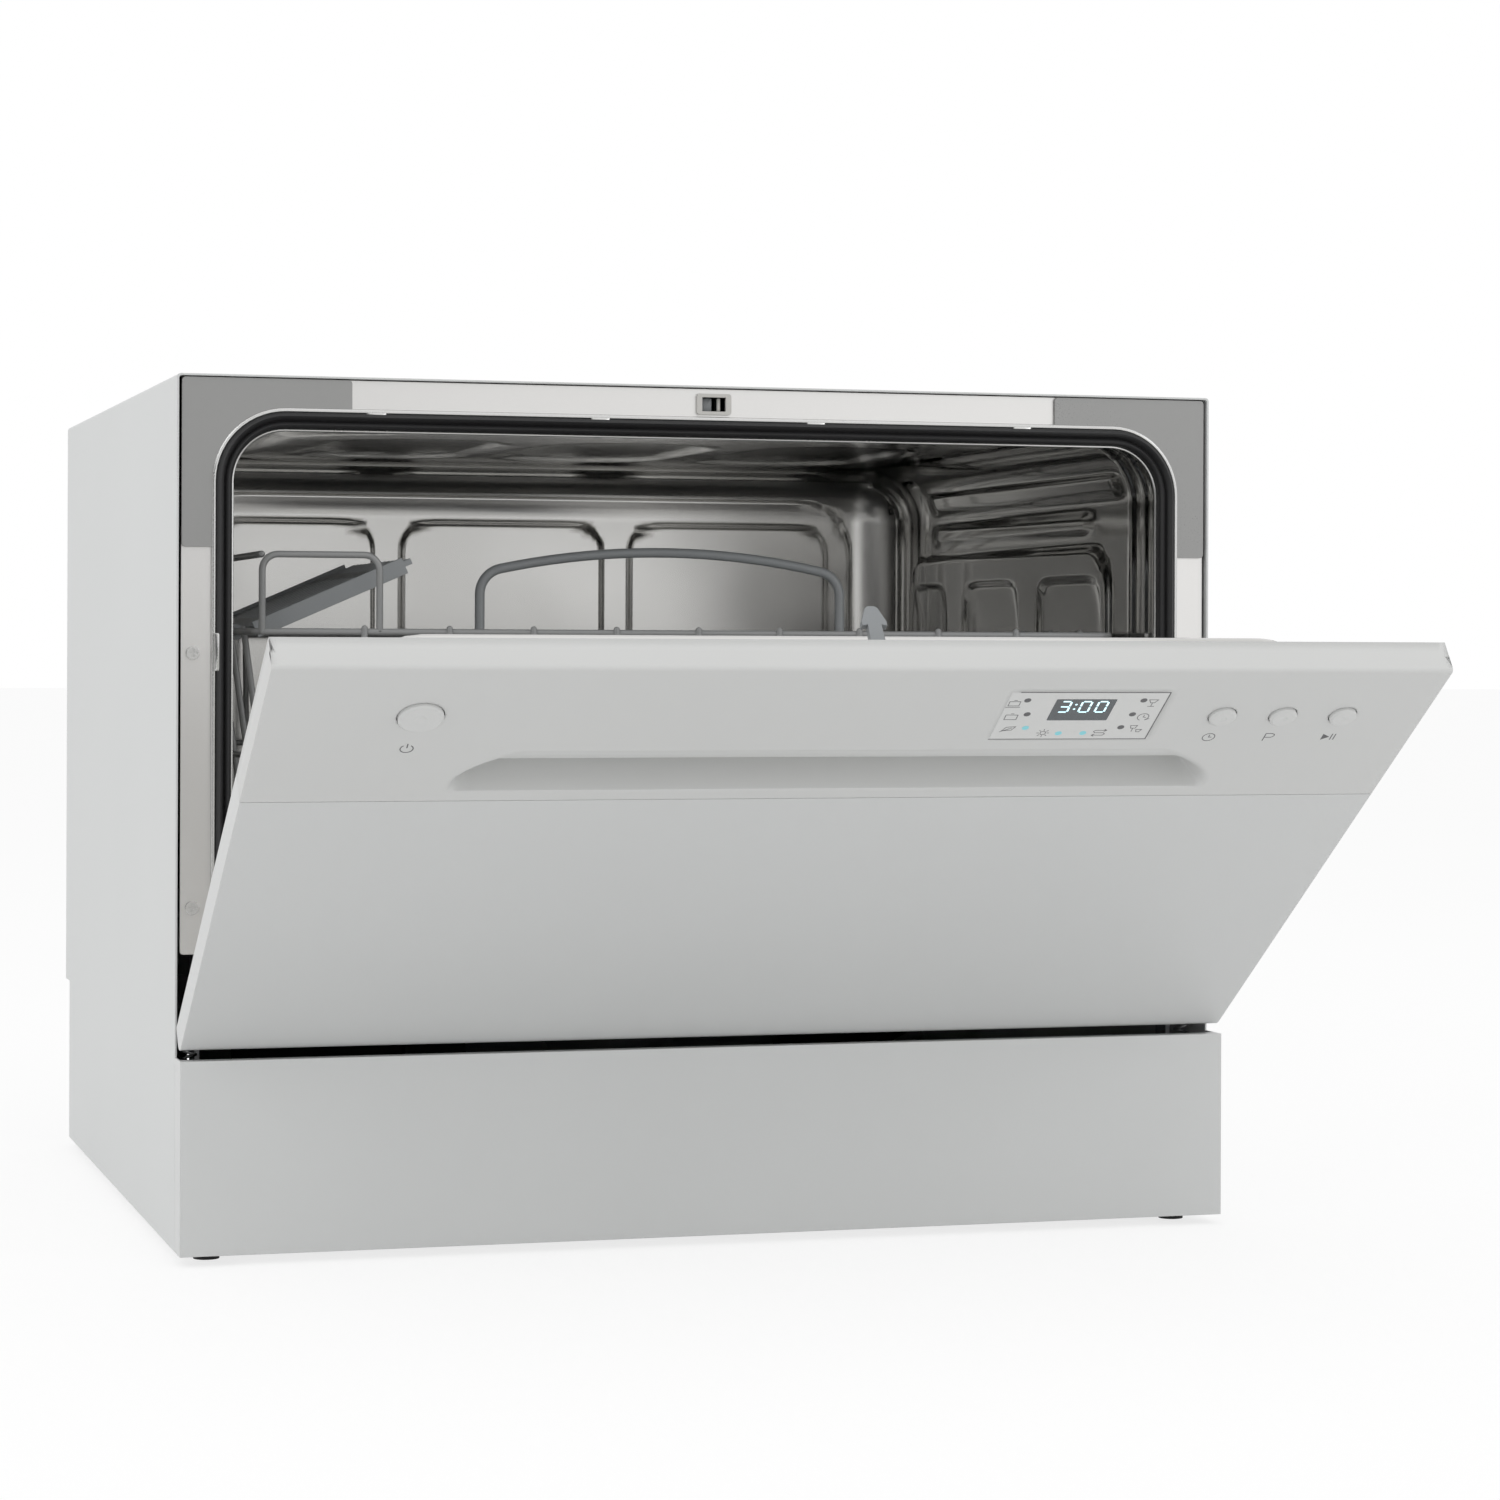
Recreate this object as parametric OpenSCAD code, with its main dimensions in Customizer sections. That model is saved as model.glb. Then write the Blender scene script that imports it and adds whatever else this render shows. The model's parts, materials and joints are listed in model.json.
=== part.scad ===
// Countertop dishwasher with a bottom-hinged door, shown with the door part open.
// X runs to the right seen from the front, Y to the back and Z up from the table.
// The drawing uses Y = 0 at the kick plate's face; at_origin() moves it to the shared origin.

/* [Cabinet] */
// Width over the side walls
body_w = 550; // [540:1:600]
// Height of the top above the table
body_h = 438; // [434:1:460]
// Depth from the kick plate's face to the rear
body_d = 500; // [496:1:540]
// Thickness of the painted sheet steel
sheet_t = 1; // [0.8:0.1:1.2]
// Depth of the kick plate's side folds, where the casing starts
kick_wrap = 19.5; // [18:0.5:22]
// Top of the kick plate above the table
kick_top = 100.5; // [96:0.5:101]
// Clearance under the cabinet, given by the feet
foot_gap = 5; // [4:0.5:8]
// Diameter of a foot
foot_d = 13; // [10:0.5:16]
// Distance of the feet from the side walls
foot_inset = 17; // [16:0.5:26]
// Depth of the recess for the hoses at the lower rear
rear_recess_d = 20; // [16:1:26]
// Height of the recess for the hoses
rear_recess_h = 100; // [90:1:110]

/* [Door] */
// Angle at which the door stands open
door_open = 55; // [45:1:70]
// Distance of the hinge axis behind the door's face
hinge_y = 6; // [5.6:0.1:7]
// Height of the hinge axis above the table
hinge_z = 111.5; // [111:0.5:113]
// Bottom edge of the closed door above the table
door_z0 = 104; // [103:0.5:105]
// Radius of the rolled bottom edge
door_roll_r = 8; // [6:0.5:8]
// Depth of the door's outer shell
door_shell_d = 16; // [15:0.5:17]
// Gap between the door's side and the cabinet's side plane
door_side_gap = 0.5; // [0.3:0.1:1]
// Height of the control panel, from its seam with the steel skin to the cabinet's top
panel_h = 104.8; // [102:0.2:113]
// Depth of the inner pan behind the door's face
pan_d = 40; // [36:0.5:42]
// Distance of the inner pan from the cabinet's sides
pan_side = 38; // [34:1:44]
// Top of the inner pan below the cabinet's top
pan_drop = 27.5; // [27:0.5:34]
// Wall thickness of the control panel
panel_t = 2.5; // [2:0.1:3]

/* [Handle] */
// Half length of the handle scoop at its lower edge
scoop_half_low = 184; // [150:1:190]
// Half length of the handle scoop at its upper edge
scoop_half_top = 160; // [120:1:168]
// Lower edge of the scoop above the seam
scoop_low = 7.4; // [6:0.2:9]
// Height of the scoop
scoop_h = 32; // [26:1:34]
// Depth of the scoop
scoop_depth = 17; // [14:0.5:19]

/* [Controls] */
// Height of the row of buttons above the seam
button_row = 67.8; // [62:0.2:72]
// Radius of the power button
power_r = 10.2; // [8:0.1:12]
// Distance of the power button from the door's middle
power_x = 204.5; // [190:0.5:230]
// Radius of a program button
key_r = 6.5; // [5:0.1:7.5]
// Distance of the first program button from the door's middle
key_x = 172; // [160:1:180]
// Distance between program buttons
key_pitch = 30.4; // [24:0.2:34]
// Height of the buttons over the panel
button_proud = 1.9; // [1.6:0.1:2.4]
// Travel of a button
button_travel = 1.5; // [1:0.1:1.6]
// Clearance around a button
button_gap = 0.3; // [0.25:0.05:0.5]
// Width of the display window
display_w = 77; // [70:1:84]
// Height of the display window
display_h = 38; // [34:1:40]
// Middle of the display window right of the door's middle
display_x = 101.6; // [90:0.2:108]

/* [Tub] */
// Gap between the tub's inside and the cabinet's side plane
tub_side = 27; // [25:0.5:30]
// Gap between the tub's ceiling and the cabinet's top plane
tub_drop = 21; // [20:0.5:24]
// Height of the tub's floor above the table
tub_floor = 142; // [141:0.5:146]
// Gap between the tub's rear wall and the cabinet's rear plane
tub_rear = 48; // [44:1:56]
// Radius of the tub's corners
tub_r = 34; // [28:1:38]
// Thickness of the tub's sheet
tub_t = 1; // [0.8:0.1:1.5]
// Width of the steel frame around the tub's mouth
frame_w = 17; // [15:0.5:18]
// Width of the black seal around the mouth
seal_w = 8; // [7:0.5:8.5]
// Length of a corner trim along the top
trim_len = 85; // [70:1:100]
// Height of a corner trim down the side
trim_drop = 84; // [70:1:100]

/* [Rack] */
// Gap between the rack's rim and the tub's side wall
rack_gap = 16; // [14:0.5:22]
// Distance of the rack's rim behind the kick plate's face
rack_front = 48; // [47:0.5:52]
// Height of the rim above the table
rack_rim_z = 311; // [300:1:316]
// Height of the rack's bottom wires above the tub's floor
rack_lift = 36; // [34:1:40]
// Diameter of the rack's wires
wire_d = 3.5; // [3:0.1:4]
// Distance between the rack's upright wires
wire_pitch = 44; // [36:1:50]
// Length of the cup shelf
shelf_len = 92; // [80:1:94]
// Slope of the cup shelf in use
shelf_slope = 23.5; // [18:0.5:28]
// Length of the cutlery basket
basket_l = 205; // [180:1:215]
// Depth of the cutlery basket
basket_w = 60; // [54:1:64]
// Height of the cutlery basket's walls
basket_h = 92; // [80:1:96]
// Rise of the cutlery handle over the basket's walls
basket_bow = 80; // [60:1:84]

/* [Wash parts] */
// Radius of the spray arm
spray_r = 190; // [170:1:196]
// Radius of the sump's mouth
sump_r = 75; // [70:1:78]
// Radius of the fine filter
filter_r = 26; // [22:0.5:27]
// Radius of the pump motor
motor_r = 36; // [30:1:40]
// Radius of the inlet thread
inlet_r = 13.2; // [10:0.1:14]
// Radius of the drain spigot
drain_r = 9.5; // [8:0.1:11]
// Radius of the bore for the mains cable
gland_r = 4.2; // [3.5:0.1:5]

/* [Hidden] */
$fn = 48;

// Running clearance of a pin in its bore, and the gap kept between bodies
run_gap = 0.06;
part_gap = 0.35;

// Cabinet
half_w = body_w / 2;
case_in = half_w - sheet_t;
case_top = body_h - sheet_t;
case_y0 = kick_wrap;
rear_y = body_d;
recess_y = body_d - rear_recess_d;
hem_w = 8;
tray_t = 2.5;
tray_z = foot_gap + sheet_t;
tray_top = tray_z + tray_t;
tray_half = case_in - 0.5;
tray_y0 = case_y0 + 1;
tray_y1 = recess_y - sheet_t;
tray_wall_h = 28;
foot_x = half_w - foot_inset;
foot_y = [case_y0 + 8, recess_y - 22];
foot_stem_r = 3;

// Tub
tub_x = half_w - tub_side;
tub_top = body_h - tub_drop;
frame_y = case_y0 + 2.5;
frame_t = 1;
flange_y = frame_y + 4;
tub_y0 = flange_y;
tub_y1 = body_d - tub_rear;
frame_half = half_w - 2.5;
frame_top = case_top - 0.5;
mouth_half = frame_half - frame_w;
mouth_top = frame_top - frame_w + 0.5;
mouth_r = tub_r + 1;
frame_z0 = tub_floor + 9;
seal_half = mouth_half - seal_w;
seal_top = mouth_top - seal_w;
seal_front = door_shell_d + 1.5;
wash_y = (tub_y0 + tub_y1) / 2;
floor_under = tub_floor - tub_t;
rear_ring_x = tub_x - 36;
rear_bar_w = 18;
rear_bars = [-86, 59];
rear_panels = [
    [-tub_x + 50, rear_bars[0] - rear_bar_w / 2],
    [rear_bars[0] + rear_bar_w / 2, rear_bars[1] - rear_bar_w / 2],
    [rear_bars[1] + rear_bar_w / 2, tub_x - 51]
];
side_ring_gap = 20;
side_ring_y0 = tub_y0 + 60;
side_ring_l = (tub_y1 - tub_y0 - 116 - side_ring_gap) / 2;
frame_screw_zs = [frame_z0 + 23, mouth_top - 120];

// Door
door_half = half_w - door_side_gap;
door_top = body_h;
seam_z = door_top - panel_h;
skin_t = 0.8;
liner_y = door_shell_d;
liner_t = 1;
panel_seam = 0.4;
panel_z0 = seam_z + panel_seam;
pan_half = half_w - pan_side;
pan_top = body_h - pan_drop;
pan_z0 = tub_floor + 8;
pan_r = 40;
pan_draft = 5;
edge_r = 2;
door_screw_z0 = pan_z0 + 30;
door_screw_z1 = door_top - 38;
door_screw_zs = [door_screw_z0, (door_screw_z0 + door_screw_z1) / 2, door_screw_z1];

// Hinge, one set at each side
ear_t = 2.5;
ear_x = half_w - 15;
ear_r = 4.6;
pin_r = 2;
arm_x = ear_x + 5;
arm_t = 2.5;
lever_len = 28;
lever_r = 4;
lever_angle = -45;
arm_top = hinge_z + 138.5;
post_y = frame_y + 18;

// Latch in the middle of the cabinet's top
latch_x = 0.5;
strike_z = mouth_top + 8.6;
strike_w = 18.4;
strike_h = 10.8;
slot_w = 12.6;
slot_h = 7.2;
trim_t = 1.4;

// Controls on the closed door
row_z = seam_z + button_row;
display_z = row_z;
window_t = 1;
board_y = 9;
board_t = 1.6;
key_xs = [key_x, key_x + key_pitch, key_x + 2 * key_pitch];
flange_grow = 1.2;
dimple_d = 0.4;
scoop_z = seam_z + scoop_low;

// Dispenser on the inner pan of the closed door
disp_x0 = 40;
disp_x1 = disp_x0 + 150;
disp_z0 = pan_z0 + 65;
disp_z1 = disp_z0 + 90;
cup_x0 = disp_x0 + 12;
cup_x1 = cup_x0 + 72;
cup_z0 = disp_z0 + 14;
cup_z1 = cup_z0 + 62;
cup_depth = 20;
lid_t = 2.4;
lid_pin_r = 1;
lid_seat = 2;
lid_y = pan_d - lid_seat + part_gap;
cap_r = 17;
cap_x = disp_x1 - 34;
cap_z = (disp_z0 + disp_z1) / 2;
lid_hinge_z = cup_z0 - 3;

// Rack
wire_r = wire_d / 2;
rack_half = tub_x - rack_gap;
rack_z = tub_floor + rack_lift;
rack_rear = tub_y1 - 22;
base_half = rack_half - 20;
base_front = rack_front + 10;
base_rear = rack_rear - 10;
mid_z = (rack_z + rack_rim_z) / 2 + 1.5;
mid_half = (rack_half + base_half) / 2;
mid_in = 5;
upright_y0 = base_front + 34;
side_wires = floor((base_half - 20) / wire_pitch);
prong_half = base_half - 27.2;
prong_ys = [upright_y0 + 3 * wire_pitch + 8, upright_y0 + 6 * wire_pitch + 8];
weld = 0.02;
cross_z = rack_z + 0.7 * wire_d;
rail_z = tub_floor + tub_r;
rail_t = 3;
rail_in = tub_x - 26;
glide_h = 14;
loop_z = rack_rim_z + 39;
loop_x = 60;
guard_y1 = upright_y0 + 4 * wire_pitch;
basket_x0 = -105;
basket_y0 = rack_front + 32;
basket_z0 = cross_z + wire_r + part_gap;
basket_wall = 1.8;
cells = 3;
shelf_y0 = rack_front + 20;
shelf_y1 = shelf_y0 + 165;
shelf_t = 3;
shelf_ring_r = 4.2;
tine_h = 58;

// Wash parts below and above the tub's floor
sump_t = 3;
sump_z0 = floor_under - 50;
well_r = 38;
well_z0 = floor_under - 89;
filter_off = 44;
filter_a = -35;
filter_pos = [filter_off * cos(filter_a), wash_y + filter_off * sin(filter_a)];
post_r = 8;
arm_z = tub_floor + 16;
arm_h = 10;
pump_z = well_z0 + 18;
pump_neck_r = 11;
volute_r = motor_r + 7;
volute_x1 = -sump_r - 15;
volute_x0 = volute_x1 - 34;
motor_x0 = volute_x0 - 84;
shaft_r = 4;
drain_pump_x = sump_r + 22;
drain_pump_r = 22;
softener_pos = [-tub_x + 78, tub_y1 - 72];
softener_r = 46;
neck_r = 28;
valve_x = tub_x - 48;
drain_x = valve_x - 62;
port_z = 52;
gland_x = -valve_x;
float_pos = [150, 110];
float_r = 24;
float_rise = 6;
air_t = 18;
air_y0 = tub_y0 + 74;
air_y1 = tub_y1 - 122;
air_ring_gap = 10;
air_ring_y0 = air_y0 + 50;
air_ring_l = (air_y1 - air_ring_y0 - 25 - 2 * air_ring_gap) / 3;
hose_y = air_y1 - 20;
hose_r = 6.5;
drain_hose_r = 8;

// Origin: middle of the whole box at table height, with the door as it stands open
tip_y = hinge_y - (hinge_y - edge_r) * cos(door_open) - (door_top - edge_r - hinge_z) * sin(door_open);
front_y = tip_y - edge_r;
y_shift = -(front_y + rear_y) / 2;

module at_origin() translate([0, y_shift, 0]) children();

// Turns what is drawn on the closed door to where the open door stands
module on_door() at_origin() translate([0, hinge_y, hinge_z]) rotate([door_open, 0, 0])
    translate([0, -hinge_y, -hinge_z]) children();

// Drawing helpers: x0 to x1 and so on are the lowest and highest corners
module block(x0, x1, y0, y1, z0, z1) translate([x0, y0, z0]) cube([x1 - x0, y1 - y0, z1 - z0]);
module rod_x(x0, x1, y, z, r) translate([x0, y, z]) rotate([0, 90, 0]) cylinder(h = x1 - x0, r = r);
module rod_y(x, y0, y1, z, r) translate([x, y0, z]) rotate([-90, 0, 0]) cylinder(h = y1 - y0, r = r);
module rod_z(x, y, z0, z1, r) translate([x, y, z0]) cylinder(h = z1 - z0, r = r);
// A drawing in X and Z, given depth from y0 to y1
module along_y(y0, y1) translate([0, y1, 0]) rotate([90, 0, 0]) linear_extrude(y1 - y0) children();
// A drawing in Y and Z, given width from x0 to x1
module along_x(x0, x1) translate([x0, 0, 0]) rotate([90, 0, 90]) linear_extrude(x1 - x0) children();
module both_sides() {
    children();
    mirror([1, 0, 0]) children();
}

// Rectangle with round corners from its lower left to its upper right corner
module soft_rect(x0, x1, z0, z1, r) {
    translate([x0 + r, z0]) square([x1 - x0 - 2 * r, z1 - z0]);
    translate([x0, z0 + r]) square([x1 - x0, z1 - z0 - 2 * r]);
    for (x = [x0 + r, x1 - r], z = [z0 + r, z1 - r]) translate([x, z]) circle(r);
}

// A straight wire between two points
module wire(p, q, r = wire_r, sides = 8) {
    d = q - p;
    l = norm(d);
    translate(p) rotate([0, acos(d[2] / l), atan2(d[1], d[0])]) cylinder(h = l, r = r, $fn = sides);
}

// A hose along a list of points, in straight runs that overlap at the bends
module run(points, r) for (i = [0 : len(points) - 2]) {
    d = points[i + 1] - points[i];
    step = d / norm(d) * r * 0.7;
    before = i > 0 ? step : [0, 0, 0];
    after = i < len(points) - 2 ? step : [0, 0, 0];
    wire(points[i] - before, points[i + 1] + after, r, 10);
}

// Painted cover of one bent sheet: two sides and the top, with a hem under each side
module outer_casing() color([0.86, 0.87, 0.87]) at_origin() difference() {
    union() {
        along_y(case_y0, rear_y) difference() {
            union() {
                soft_rect(-half_w, half_w, foot_gap + 20, body_h, edge_r);
                translate([-half_w, foot_gap]) square([body_w, 60]);
            }
            soft_rect(-case_in, case_in, foot_gap + 20, case_top, edge_r - sheet_t / 2);
            translate([-case_in, foot_gap - 1]) square([2 * case_in, 70]);
        }
        both_sides() block(case_in - hem_w, case_in, case_y0, recess_y, foot_gap, foot_gap + sheet_t);
    }
    block(-half_w - 1, half_w + 1, recess_y, rear_y + 1, foot_gap - 1, rear_recess_h);
}

// Rear sheet with air slots, set forward at the bottom for the hose and cable connections
module back_panel() color([0.62, 0.63, 0.64]) at_origin() difference() {
    along_x(-case_in, case_in) {
        translate([rear_y - sheet_t, rear_recess_h]) square([sheet_t, case_top - rear_recess_h]);
        translate([recess_y - sheet_t, rear_recess_h]) square([rear_recess_d, sheet_t]);
        translate([recess_y - sheet_t, tray_z]) square([sheet_t, rear_recess_h - tray_z + sheet_t]);
    }
    for (x = [-150 : 12 : 150]) block(x, x + 4, rear_y - 3, rear_y + 1, 130, 170);
    rod_y(valve_x, recess_y - 3, recess_y + 1, port_z, inlet_r + 1);
    rod_y(drain_x, recess_y - 3, recess_y + 1, port_z, drain_r + 1);
    rod_y(gland_x, recess_y - 3, recess_y + 1, port_z, gland_r + 3);
}

// Moulded floor pan that carries the pumps, with holes for the feet
module base_tray() color([0.28, 0.29, 0.3]) at_origin() difference() {
    union() {
        difference() {
            block(-tray_half, tray_half, tray_y0, tray_y1, tray_z, tray_z + tray_wall_h);
            block(-tray_half + tray_t, tray_half - tray_t, tray_y0 + tray_t, tray_y1 - tray_t,
                tray_top, tray_z + tray_wall_h + 1);
        }
        for (x = [motor_x0 + 16, volute_x0 - 24])
            block(x - 5, x + 5, wash_y - motor_r * 0.7, wash_y + motor_r * 0.7, tray_top, pump_z - motor_r);
        rod_z(0, wash_y, tray_top, well_z0, 12);
        rod_z(softener_pos[0], softener_pos[1], tray_top, 24, 30);
    }
    for (x = [-foot_x, foot_x], y = foot_y) rod_z(x, y, tray_z - 1, tray_top + 1, foot_stem_r);
}

// Four rubber feet pressed into the floor pan
module feet() color([0.1, 0.1, 0.1]) at_origin() for (x = [-foot_x, foot_x], y = foot_y) {
    rod_z(x, y, 0, tray_z, foot_d / 2);
    rod_z(x, y, tray_z, tray_top, foot_stem_r);
}

// Plain lower front, folded back at its sides, top and bottom
module kick_plate() color([0.8, 0.81, 0.81]) at_origin() {
    top_fold_d = 8;
    foot_fold_half = foot_x - foot_d;
    along_x(-half_w, half_w) {
        translate([0, foot_gap]) square([sheet_t, kick_top - foot_gap]);
        translate([0, kick_top - sheet_t]) square([top_fold_d, sheet_t]);
    }
    both_sides() block(case_in, half_w, 0, kick_wrap - part_gap, foot_gap, kick_top);
    block(-foot_fold_half, foot_fold_half, 0, tray_y0 + top_fold_d, foot_gap, tray_z);
}

// Closed body of the tub's shape, grown by g on all sides but the mouth
module tub_body(g) hull() {
    r = tub_r + g;
    for (x = [-tub_x + tub_r, tub_x - tub_r], z = [tub_floor + tub_r, tub_top - tub_r]) {
        rod_y(x, tub_y0, tub_y0 + 1, z, r, $fn = 32);
        translate([x, tub_y1 - tub_r, z]) sphere(r / cos(180 / 32), $fn = 32);
    }
}

// Raised ring of a pressed panel
module ring_2d(x0, x1, z0, z1, r, w) difference() {
    soft_rect(x0, x1, z0, z1, r);
    soft_rect(x0 + w, x1 - w, z0 + w, z1 - w, r - w);
}

// Stainless wash tub with pressed panels, open to the front, holed for the sump and the salt filler
module tub() color([0.6, 0.6, 0.6]) at_origin() difference() {
    union() {
        difference() {
            union() {
                tub_body(tub_t);
                along_y(tub_y0, tub_y0 + tub_t) soft_rect(-mouth_half - 2, mouth_half + 2,
                    tub_floor - tub_t, mouth_top + 2, mouth_r);
            }
            tub_body(0);
            block(-tub_x + tub_r, tub_x - tub_r, tub_y0 - 1, tub_y0 + 2, tub_floor, tub_top);
        }
        along_y(tub_y1 - 3, tub_y1) {
            ring_2d(-rear_ring_x, rear_ring_x, tub_floor + 30, tub_top - 18, tub_r, 8);
            for (x = rear_panels) ring_2d(x[0], x[1], tub_floor + 50, tub_top - 37, 16, 5);
        }
        for (s = [-1, 1], y = [side_ring_y0, side_ring_y0 + side_ring_l + side_ring_gap])
            translate([s * (tub_x - (s > 0 ? 2 : 0)), 0, 0]) along_x(0, 2)
                ring_2d(y, y + side_ring_l, tub_floor + 60, tub_top - 55, 24, 5);
    }
    rod_z(0, wash_y, floor_under - 1, tub_floor + 1, sump_r - 3);
    rod_z(softener_pos[0], softener_pos[1], floor_under - 1, tub_floor + 1, neck_r);
}

// Satin steel frame around the mouth, open at the bottom, with a lip that meets the tub's flange
module front_frame() color([0.8, 0.79, 0.78]) at_origin() difference() {
    union() {
        along_y(frame_y, frame_y + frame_t)
            soft_rect(-frame_half, frame_half, frame_z0, frame_top, edge_r);
        along_y(frame_y, flange_y)
            soft_rect(-mouth_half - frame_t, mouth_half + frame_t, frame_z0 - 60, mouth_top + frame_t,
                mouth_r + frame_t);
    }
    along_y(frame_y - 1, flange_y + 1)
        soft_rect(-mouth_half, mouth_half, frame_z0 - 100, mouth_top, mouth_r);
    block(-half_w, half_w, frame_y - 1, flange_y + 1, frame_z0 - 101, frame_z0);
    block(latch_x - slot_w / 2, latch_x + slot_w / 2, frame_y - 1, frame_y + 2,
        strike_z - slot_h / 2, strike_z + slot_h / 2);
}

// Grey plastic cover on an upper corner of the frame
module corner_trim() color([0.56, 0.58, 0.59]) at_origin() difference() {
    along_y(frame_y - trim_t, frame_y) difference() {
        union() {
            soft_rect(frame_half - trim_len, frame_half, mouth_top, frame_top, edge_r);
            soft_rect(mouth_half, frame_half, frame_top - trim_drop, frame_top, edge_r);
            translate([mouth_half - mouth_r, mouth_top - mouth_r]) square(mouth_r + 2);
        }
        soft_rect(-mouth_half, mouth_half, frame_z0 - 100, mouth_top, mouth_r);
    }
}

module corner_trim_right() corner_trim();
module corner_trim_left() mirror([1, 0, 0]) corner_trim();

// Black seal around the top and sides of the mouth, a body with a soft front lip
module door_gasket() color([0.06, 0.06, 0.06]) at_origin() difference() {
    union() {
        along_y(seal_front + 2, flange_y)
            soft_rect(-mouth_half, mouth_half, frame_z0 - 60, mouth_top, mouth_r);
        along_y(seal_front, flange_y)
            soft_rect(-mouth_half + 2, mouth_half - 2, frame_z0 - 60, mouth_top - 2, mouth_r - 2);
    }
    along_y(seal_front + 2, flange_y + 1)
        soft_rect(-seal_half, seal_half, frame_z0 - 100, seal_top, mouth_r - seal_w);
    along_y(seal_front - 1, seal_front + 3)
        soft_rect(-seal_half - 2.5, seal_half + 2.5, frame_z0 - 100, seal_top + 2.5, mouth_r - seal_w + 2.5);
    block(-half_w, half_w, seal_front - 1, flange_y + 1, frame_z0 - 101, frame_z0);
}

// Bezel of the latch on the frame
module strike_bezel() color([0.78, 0.77, 0.75]) at_origin() along_y(frame_y - trim_t, frame_y) difference() {
    soft_rect(latch_x - strike_w / 2, latch_x + strike_w / 2,
        strike_z - strike_h / 2, strike_z + strike_h / 2, 1.5);
    translate([latch_x - slot_w / 2, strike_z - slot_h / 2]) square([slot_w, slot_h]);
}

// Box behind the frame that the hook enters, with the catch bar at its back
module latch_housing() color([0.2, 0.2, 0.2]) at_origin() {
    lz0 = mouth_top + 2.5;
    lz1 = frame_top - 0.5;
    difference() {
        block(-18, 22, frame_y + frame_t, frame_y + 30, lz0, lz1);
        block(-12, 19, frame_y, frame_y + 27, strike_z - slot_h / 2 - 0.8, strike_z + slot_h / 2 + 0.8);
    }
    block(7, 9, frame_y + 22, frame_y + 24, strike_z - slot_h / 2 - 0.8, strike_z + slot_h / 2 + 0.8);
}

// Switch that feels the hook, behind the latch
module door_switch() color([0.12, 0.12, 0.14]) at_origin() {
    block(-9, 11, frame_y + 30, frame_y + 42, mouth_top + 4, frame_top - 2);
    for (x = [-5, 1, 7]) block(x - 0.4, x + 0.4, frame_y + 42, frame_y + 48, strike_z - 2, strike_z + 2);
}

// Steel bracket with the ear that carries the hinge pin
module hinge_bracket() difference() {
    union() {
        along_x(ear_x, ear_x + ear_t) {
            translate([hinge_y, hinge_z]) circle(ear_r);
            translate([hinge_y, hinge_z - ear_r]) square([post_y - hinge_y + 2, 2 * ear_r]);
            translate([post_y, tray_top]) square([14, hinge_z + ear_r - tray_top]);
        }
        block(ear_x, ear_x + 10, frame_y + 2, post_y + 14, tray_top, tray_top + ear_t);
    }
    rod_x(ear_x - 1, ear_x + ear_t + 1, hinge_y, hinge_z, pin_r);
}

module hinge_brackets() color([0.7, 0.7, 0.68]) at_origin() both_sides() hinge_bracket();

// One pin in each bracket, with a head at its inner end
module hinge_pins() color([0.75, 0.75, 0.75]) at_origin() both_sides() {
    rod_x(ear_x, arm_x + arm_t + 1.5, hinge_y, hinge_z, pin_r);
    rod_x(ear_x - 1.5, ear_x, hinge_y, hinge_z, pin_r + 1.5);
}

// Tension spring: a wound wire from the bracket's foot towards the lever of the door's arm
spring_r = 3.6;
spring_wire_r = 0.8;
spring_turns = 14;
spring_sides = 6;
spring_steps = 8;
spring_x = arm_x + arm_t / 2;
spring_y = hinge_y + lever_len * cos(door_open + lever_angle);
spring_z0 = tray_top + ear_t + 8;
spring_top = hinge_z + lever_len * sin(door_open + lever_angle) - lever_r - part_gap;
spring_z1 = spring_top - 9;
spring_count = spring_turns * spring_steps;
spring_pitch = (spring_z1 - spring_z0) / spring_turns;
echo(gap_between_spring_turns = spring_pitch - 2 * spring_wire_r);

function spring_point(i, j) = let(
    a = 360 * i / spring_steps,
    b = 360 * j / spring_sides,
    r = spring_r + spring_wire_r * cos(b)
) [r * cos(a), r * sin(a), (spring_z1 - spring_z0) * i / spring_count + spring_wire_r * sin(b)];

module spring_coil() {
    points = [for (i = [0 : spring_count], j = [0 : spring_sides - 1]) spring_point(i, j)];
    last = spring_count * spring_sides;
    sides = [for (i = [0 : spring_count - 1], j = [0 : spring_sides - 1]) let(
        k = (j + 1) % spring_sides,
        a = i * spring_sides,
        b = a + spring_sides
    ) each [[a + j, a + k, b + j], [a + k, b + k, b + j]]];
    ends = [for (j = [1 : spring_sides - 2]) each [[0, j + 1, j], [last, last + j, last + j + 1]]];
    polyhedron(points = points, faces = concat(sides, ends));
}

module hinge_springs() color([0.55, 0.55, 0.56]) at_origin() both_sides()
    translate([spring_x, spring_y, 0]) {
    translate([0, 0, spring_z0]) spring_coil();
    translate([0, 0, spring_z0 - 8]) cylinder(h = 8.4, r = spring_wire_r, $fn = 12);
    for (z = [spring_z0, spring_z1]) translate([0, 0, z]) rotate([0, 90, 0])
        cylinder(h = spring_r + 0.4, r = spring_wire_r, $fn = 12);
    translate([0, 0, spring_z1 - 0.4])
        cylinder(h = spring_top - spring_z1 + 0.4, r = spring_wire_r, $fn = 12);
}

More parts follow.
